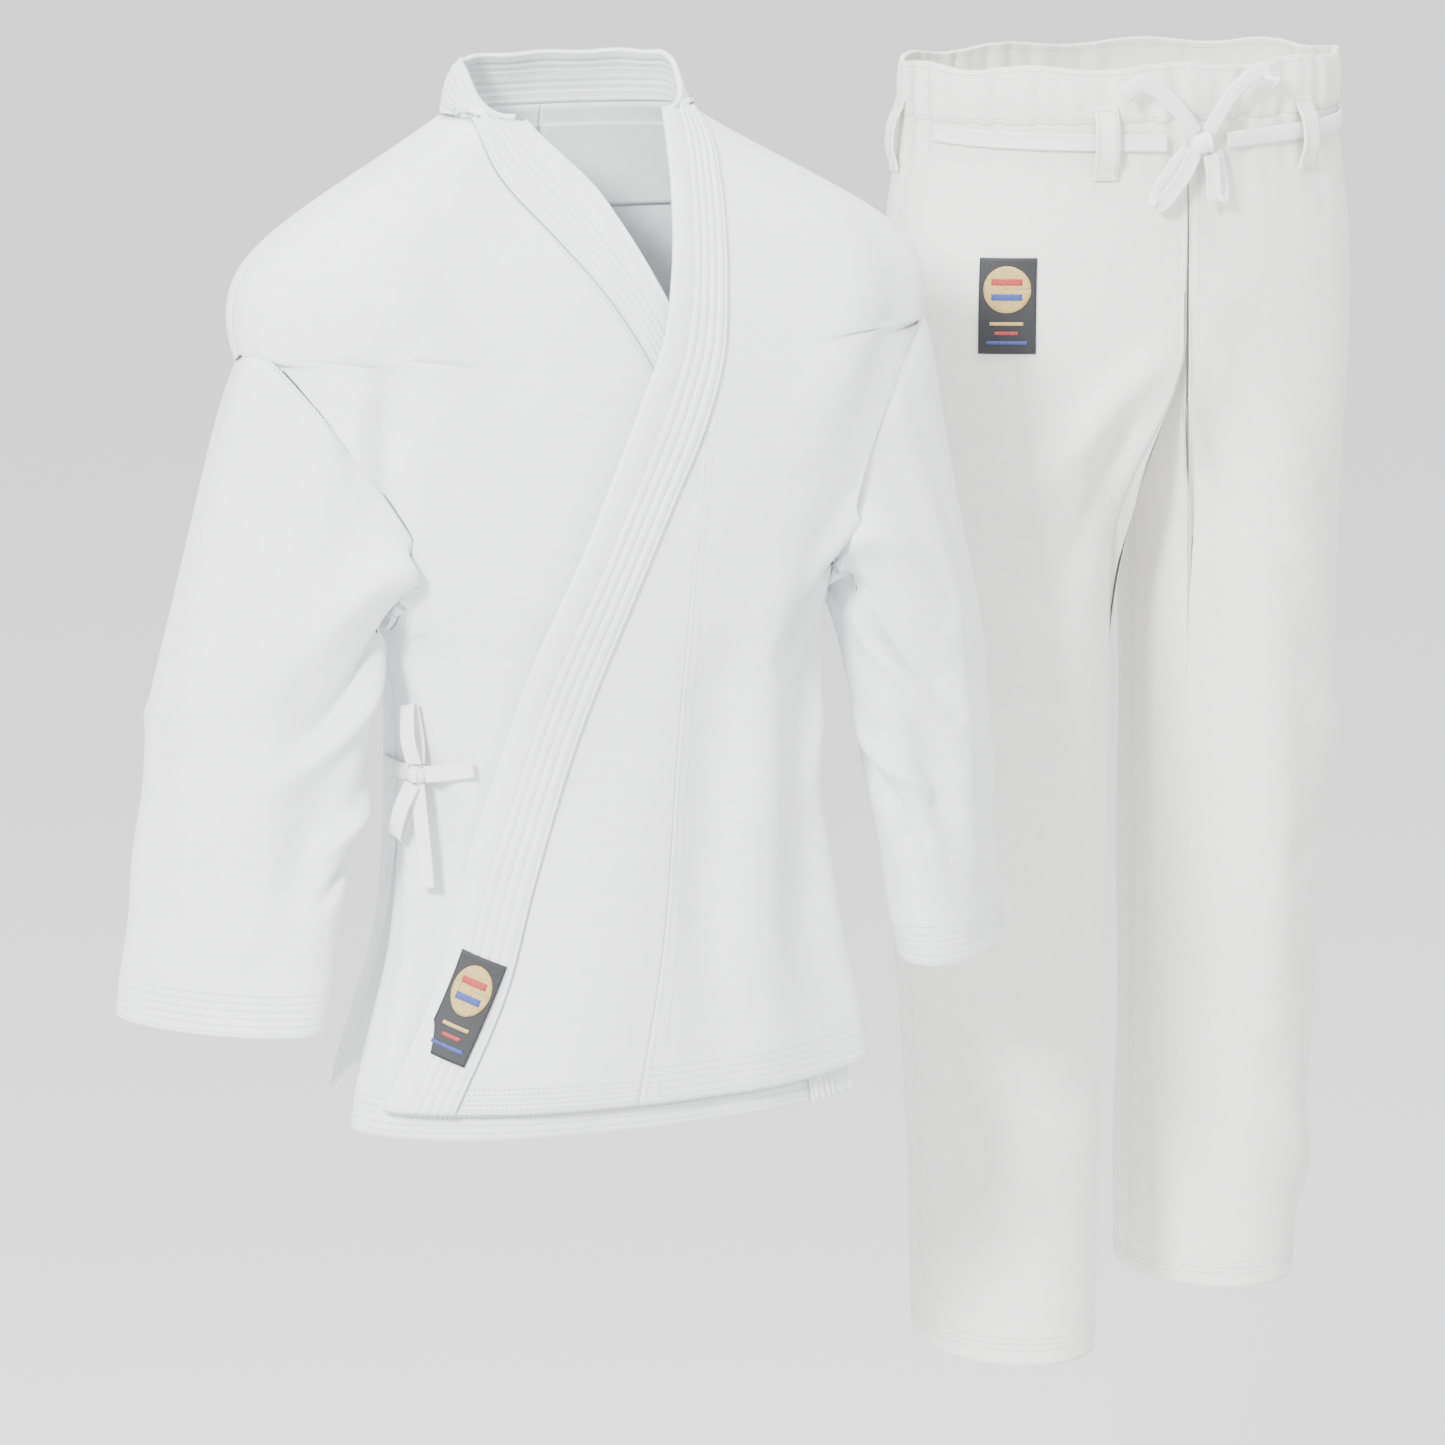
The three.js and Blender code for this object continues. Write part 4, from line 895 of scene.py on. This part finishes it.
def leg_folds(angle, z, side):
    """Creases from the crotch, the long break down each leg and slack over the knee."""
    s = (angle - 60) * 0.0017
    total = ridge(s, z, (-0.100, -0.22), (-0.03, -0.34), 0.014, 0.006)
    total += ridge(s, z, (-0.105, -0.26), (-0.04, -0.42), 0.013, -0.005)
    total += ridge(s, z, (-0.060, -0.34), (-0.045, -0.80), 0.020, 0.006)
    total += ridge(s, z, (0.020, -0.18), (0.030, -0.95), 0.026, 0.005)
    total += ridge(s, z, (0.090, -0.16), (0.070, -0.85), 0.024, 0.005)
    total += ridge(s, z, (-0.02, -0.52), (0.05, -0.60), 0.018, 0.004)
    total += ridge(s, z, (-0.03, -0.66), (0.05, -0.60), 0.016, -0.003)
    total += ridge(s, z, (-0.03, -0.88), (0.04, -0.97), 0.020, 0.004)
    total += ridge(s, z, (0.150, -0.30), (0.160, -0.90), 0.024, 0.005)
    total += ridge(s, z, (0.230, -0.35), (0.220, -0.85), 0.022, -0.004)
    seam = smooth(np.abs(angle - 360), 0, 14) * smooth(np.abs(angle), 0, 10)
    ease = smooth(-z, 0.12, 0.26) * (1 - 0.5 * smooth(-z, 0.96, 1.05))
    return (total * seam + 0.0010 * np.sin(z * 23 + side) * np.sin(s * 19)) * ease


LEG_HEM = 0.0225
trouser_canvas = canvas("trouser_canvas", (0.87, 0.865, 0.85))
for word, side in (("left", 1), ("right", -1)):
    grid, angle, z = leg_grid(side)
    lift = leg_folds(np.broadcast_to(angle[None, :], z.shape), z, side)
    lift = lift + np.where(angle[None, :] <= 180, waist_gathers(angle[None, :] * side, z), 0)
    outward = normals_of(grid, True)
    # Turned to face away from the leg's middle.
    if (outward[200, 50] @ (grid[200, 50] - grid[200].mean(0))) < 0:
        outward = -outward
    grid = grid + outward * lift[..., None]
    grid[..., 0] = np.maximum(grid[..., 0], 0.0004)
    grid = grid * np.array([side, 1, 1]) + TROUSERS
    if side > 0:
        grid = grid[:, (-np.arange(grid.shape[1])) % grid.shape[1]]
    body = f"{word}_leg"
    hip = ("trousers", body, (0.572, 0.2, -0.249), (0.572, 0.2, -0.42))
    tube = cloth_from(f"{word}_trouser_half_cloth", grid, trouser_canvas, ring=True)
    dress([f"{word}_seat_panel", body])
    declare(grid)
    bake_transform(tube)
    hem = 1 - LEG_HEM
    seams = [line_on(grid, across_row(hem + 0.005 * row, count=500), True) for row in range(3)]
    inner = 1 - 0.9 if side > 0 else 0.9
    seams += [line_on(grid, down_row(inner + o, 0.02, 0.99), True) for o in (-0.004, 0.004)]
    outer = 1 - 0.4 if side > 0 else 0.4
    seams += [line_on(grid, down_row(outer, 0.01, 0.99), True)]
    middle = 0.999 if side > 0 else 0.001
    seams += [line_on(grid, down_row(abs(middle - 0.012), 0.0, 0.19), True)]
    sew(f"{word}_trouser_stitching", seams, None, hip, stitch_thread_painted_shade)
    lining = grid[int(0.975 * grid.shape[0]):-1]
    lining = lining - normals_of(lining, True) * 0.0022
    facing = cloth_from(f"{word}_leg_hem_facing_cloth", lining, trouser_canvas, 0.0012, True)
    dress([f"{word}_leg_hem_facing"])
    declare(lining)
    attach(facing, body)

# The crotch gusset is a canvas diamond that runs under the body from front to back.
v = np.linspace(-44, 44, 60)[:, None]
half = 0.034 * (1 - 0.55 * np.abs(v) / 44)
u = np.linspace(1, -1, 24)[None, :]
radius = HIP_RADIUS - 0.0018
grid = np.stack([half * u, radius * np.sin(np.radians(v)) + 0 * u,
                 HIP_AXIS - radius * np.cos(np.radians(v)) + 0 * u], -1) + TROUSERS
patch = cloth_from("crotch_gusset_cloth", grid, trouser_canvas)
dress(["crotch_gusset"])
declare(grid)
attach(patch, "trousers")

# ---- Waist casing ----
# A doubled canvas channel at the top of the trousers, gathered on its drawstring and stitched
# along its lower edge.
columns = 720
angle = np.linspace(0, 360, columns, endpoint=False)
z = -np.linspace(-0.001, CASING, 40)[:, None] * np.ones(columns)[None, :]
wide = angle[None, :] + 0 * z
grid = hips(-wide, z)
puff = 0.0022 * np.sin(np.pi * np.clip(-z / CASING, 0, 1)) ** 0.7
grid = grid + normals_of(grid, True) * (puff + 1.15 * waist_gathers(-wide, -0.03 + 0 * z)
                                        * (0.55 + 0.45 * np.clip(-z / CASING, 0, 1)))[..., None]
a = np.radians(wide)
grid[..., 2] += 0.0022 * np.sin(a * 9 + 1) * (1 - np.clip(-z / CASING, 0, 1))
grid = grid + TROUSERS
casing = cloth_from("waist_casing_cloth", grid, trouser_canvas, 0.0045, True)
dress(["waist_casing"])
declare(grid)
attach(casing, "trousers")
seams = [line_on(grid, across_row(share, count=1400), True) for share in (0.10, 0.90, 0.96)]
inside = [(line - normal * 0.0045, -normal) for line, normal in seams]
sew("waist_casing_stitching", seams + inside, "trousers", None)

# ---- Belt loops ----
# Five folded canvas loops, sewn above and below the casing seam and bowed out between.
LOOP_TOP = 0.030
LOOP_HEIGHT = 0.057
LOOP_WIDTH = 0.020


def off_waist(angle, drop, off):
    """A point that far off the trousers' waist, in the row frame."""
    point = hips(np.array(float(angle)), np.array(-float(drop)))
    out = np.array([point[0], point[1] * 2.2, 0])
    return point + out / np.linalg.norm(out) * off + TROUSERS


for word, angle in (("front_right", -22), ("front_left", 38), ("side_right", -97),
                    ("side_left", 97), ("back", 180)):
    points = []
    for t in (0, 0.12, 0.3, 0.5, 0.7, 0.88, 1):
        bow = 0.008 * math.sin(math.pi * min(max((t - 0.1) / 0.8, 0), 1)) ** 0.5
        points.append(off_waist(angle, LOOP_TOP + LOOP_HEIGHT * t, 0.0026 + bow))
    wide = off_waist(angle + 2, 0.06, 0) - off_waist(angle - 2, 0.06, 0)
    obj, line = tape(f"{word}_belt_loop_cloth", points, wide, LOOP_WIDTH, 0.0020, 0.02,
                     nodes=[f"{word}_belt_loop"])
    obj.data.materials[0] = trouser_canvas
    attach(obj, "trousers")
    out = line[45] - TROUSERS
    out = np.array([out[0], out[1] * 2.2, 0]) / np.hypot(out[0], out[1] * 2.2)
    across = wide / np.linalg.norm(wide)
    rows = []
    for shift in (-0.0072, 0.0072):
        rows.append((line[2:88] + across * shift + out * 0.0014, np.repeat(out[None], 86, 0)))
    for at in (5, 84):
        u = np.linspace(-0.0078, 0.0078, 12)[:, None]
        rows.append((line[at] + across * u + out * 0.0014, np.repeat(out[None], 12, 0)))
    sew(f"{word}_belt_loop_stitching", rows, "trousers", None)

# ---- Drawstring ----
# A flat cotton tape that comes out of the casing at the sides, runs through the front belt loops
# and is tied in a bow over the middle of the front.
CORD_WIDTH = 0.013
CORD_DROP = CASING + 0.012
KNOT_DROP = CORD_DROP + 0.004
bow_at = off_waist(2, KNOT_DROP, 0.008) + [0, -0.0025, 0]
for word, start, stop in (("right", -78, -1), ("left", 78, 5)):
    points = []
    for t in (0, 0.2, 0.4, 0.6, 0.8, 0.93):
        drop = CORD_DROP - 0.004 + (KNOT_DROP - CORD_DROP + 0.004) * t
        points.append(off_waist(start + (stop - start) * t, drop, 0.0065 if t > 0.9 else 0.0042))
    obj, _ = tape(f"drawstring_{word}_tape", points, (0, 0, 1), CORD_WIDTH, 0.0015,
                  nodes=[f"drawstring_{word}"])
    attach(obj, "trousers")
core, wraps = knot("drawstring_knot", bow_at, 0.015, (1, 0, 0.2), (0, 0, 1), ["drawstring_knot"],
                   "trousers")
BOWS = {
    "drawstring_left_bow": (((-7, -3, -6), (-18, -5, -24), (-36, -6, -44), (-42, -3, -46),
                             (-38, -1, -36), (-24, 0, -18), (-11, 0.5, -5)), (0.8, 0, -0.6)),
    "drawstring_right_bow": (((5, -6.5, -9), (8, -6, -24), (9, -6, -42), (14, -4, -46),
                              (19, -1, -40), (17, 0.5, -22), (13, 1, -7)), (1, 0, 0.2)),
    "drawstring_left_tail": (((-6, -1, 8), (-16, -3, 20), (-34, -4, 38), (-56, -4, 50),
                              (-72, -4, 40)), (0.5, 0, 0.85)),
    "drawstring_right_tail": (((6, -1, 8), (14, -3, 22), (30, -4, 42), (52, -5, 56),
                               (66, -4, 44)), (0.6, 0, -0.8)),
}
for name, (stops, wide) in BOWS.items():
    points = [bow_at + np.array(stop) * 0.001 for stop in stops]
    obj, line = tape(f"{name}_tape", points, wide, CORD_WIDTH, 0.0014, nodes=[name])
    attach(obj, "trousers")

# ---- Woven badges ----
# Small black woven labels, one near the foot of the over lapel and one on the trousers' right
# front, each with a plain gold disc, a red and a blue bar and three short lines.
BADGE_WIDTH = 0.045
BADGE_HEIGHT = 0.076


def thread(name, colour, roughness=0.6):
    """Dense satin-woven thread of one colour, with its fine weft ribs."""
    material = bpy.data.materials.new(name)
    material.use_nodes = True
    nodes = material.node_tree.nodes
    link = material.node_tree.links.new
    shader = nodes["Principled BSDF"]
    shader.inputs["Roughness"].default_value = roughness
    shader.inputs["Sheen Weight"].default_value = 0.15
    place = nodes.new("ShaderNodeTexCoord")
    speck = nodes.new("ShaderNodeTexNoise")
    speck.inputs["Scale"].default_value = 900
    link(place.outputs["Object"], speck.inputs["Vector"])
    ramp = nodes.new("ShaderNodeValToRGB")
    ramp.color_ramp.elements[0].position = 0.35
    ramp.color_ramp.elements[0].color = (*[c * 0.55 for c in colour], 1)
    ramp.color_ramp.elements[1].position = 0.65
    ramp.color_ramp.elements[1].color = (*colour, 1)
    link(speck.outputs["Fac"], ramp.inputs["Fac"])
    link(ramp.outputs["Color"], shader.inputs["Base Color"])
    bump = nodes.new("ShaderNodeBump")
    bump.inputs["Strength"].default_value = 0.6
    bump.inputs["Distance"].default_value = 0.0002
    link(speck.outputs["Fac"], bump.inputs["Height"])
    link(bump.outputs["Normal"], shader.inputs["Normal"])
    return material


black = thread("badge_black", (0.016, 0.016, 0.020))
gold = thread("badge_gold", (0.56, 0.40, 0.13))
red = thread("badge_red", (0.45, 0.03, 0.03))
blue = thread("badge_blue", (0.03, 0.06, 0.32))


def badge(name, surface, node, place):
    """surface(x, y) gives a point of the cloth x across and y up from the badge's middle."""
    def patch(part, shape, colour, lift, thick):
        grid = np.array([[surface(x, y) for x, y in row] for row in shape])
        grid = grid + normals_of(grid) * lift
        obj = cloth_from(f"{name}_{part}", grid, colour, thick)
        dress()
        place(obj)
        return obj

    def block(x0, x1, y0, y1, columns, rows):
        return [[(x, y) for x in np.linspace(x1, x0, columns)] for y in np.linspace(y1, y0, rows)]

    base = patch("ground", block(-BADGE_WIDTH / 2, BADGE_WIDTH / 2, -BADGE_HEIGHT / 2,
                                 BADGE_HEIGHT / 2, 24, 36), black, 0.0009, 0.0010)
    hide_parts(node)
    disc = [[(r * math.cos(a), 0.013 + r * math.sin(a))
             for a in np.linspace(0, 2 * math.pi, 49)] for r in np.linspace(0.0002, 0.0185, 8)]
    patch("disc", disc[::-1], gold, 0.0014, 0.0006)
    patch("upper_bar", block(-0.0120, 0.0120, 0.0165, 0.0215, 12, 5), red, 0.0018, 0.0006)
    patch("lower_bar", block(-0.0120, 0.0120, 0.0045, 0.0095, 12, 5), blue, 0.0018, 0.0006)
    for k, (colour, half) in enumerate(((gold, 0.013), (red, 0.009), (blue, 0.016))):
        y = -0.014 - 0.0075 * k
        patch(f"line_{k + 1}", block(-half, half, y - 0.0013, y + 0.0013, 16, 3), colour, 0.0014,
              0.0006)


def on_lapel(x, y):
    """A point of the over lapel, x across and y up from its badge's middle, on the lapel's slope."""
    drop = BADGE_DROP - (y * math.cos(BADGE_TILT) - x * math.sin(BADGE_TILT))
    aside = x * math.cos(BADGE_TILT) + y * math.sin(BADGE_TILT)
    middle = 0.5 * (knots(np.array(BADGE_DROP), OVER_SEAM) + knots(np.array(BADGE_DROP), OVER_FREE))
    start = body_angle(float(middle), BADGE_DROP)
    return over_body(start + aside / 0.0031, drop, 0.0042)


def body_angle(x, drop):
    """The angle at which the jacket body is x to the side, on its front half."""
    trial = np.linspace(-89, 89, 800)
    points = torso(trial, np.full_like(trial, -drop))
    return float(trial[int(np.argmin(np.abs(points[:, 0] - x)))])


def on_seat(x, y):
    """A point of the trousers' right front, x across and y up from its badge's middle."""
    drop = 0.185 - y
    angle = -47 + x / 0.0027
    push = waist_gathers(np.array(angle), np.array(-drop)) + leg_folds(
        np.array(-angle), np.array(-drop), -1)
    return off_waist(angle, drop, 0.0012 + float(push))


BADGE_DROP = 0.640
BADGE_TILT = math.radians(16)
badge("jacket_badge_cloth", on_lapel, "jacket_badge", lambda obj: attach(obj, "left_front"))
badge("trousers_badge_cloth", on_seat, "trousers_badge", lambda obj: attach(obj, "trousers"))

# ---- Studio ----
# A pale floor well below the hems, a white surround and large soft lamps to the front.
def studio():
    floor = bpy.data.meshes.new("studio_floor")
    floor.from_pydata([(-30, -30, -1.9), (30, -30, -1.9), (30, 30, -1.9), (-30, 30, -1.9)], [],
                      [(0, 1, 2, 3)])
    pale = bpy.data.materials.new("studio_floor")
    pale.use_nodes = True
    pale.node_tree.nodes["Principled BSDF"].inputs["Base Color"].default_value = (0.9, 0.9, 0.9, 1)
    pale.node_tree.nodes["Principled BSDF"].inputs["Roughness"].default_value = 0.9
    floor.materials.append(pale)
    ground = bpy.data.objects.new("studio_floor", floor)
    bpy.context.scene.collection.objects.link(ground)
    world = bpy.data.worlds.new("studio")
    world.use_nodes = True
    world.node_tree.nodes["Background"].inputs["Color"].default_value = (1, 1, 1, 1)
    world.node_tree.nodes["Background"].inputs["Strength"].default_value = 1.6
    bpy.context.scene.world = world
    for name, place, size, power in (
        ("key_lamp", (-3.9, -3.4, 2.3), 1.0, 760), ("side_lamp", (3.4, -2.8, 1.2), 1.6, 36),
        ("top_lamp", (0.4, -0.6, 3.4), 1.6, 200),
    ):
        data = bpy.data.lights.new(name, "AREA")
        data.size = size
        data.energy = power
        lamp = bpy.data.objects.new(name, data)
        lamp.location = place
        aim = Vector((0.25, 0, -0.5)) - Vector(place)
        lamp.rotation_euler = aim.to_track_quat("-Z", "Y").to_euler()
        bpy.context.scene.collection.objects.link(lamp)


def camera():
    target = Vector((0.104, -0.048, -0.466))
    turn = math.radians(-25)
    rise = math.radians(11.5)
    away = Vector((math.sin(turn) * math.cos(rise), -math.cos(turn) * math.cos(rise), math.sin(rise)))
    data = bpy.data.cameras.new("camera")
    data.angle = math.radians(13.45)
    eye = bpy.data.objects.new("camera", data)
    eye.location = target + away * 4.6
    eye.rotation_euler = (-away).to_track_quat("-Z", "Y").to_euler()
    bpy.context.scene.collection.objects.link(eye)
    bpy.context.scene.camera = eye


studio()
camera()
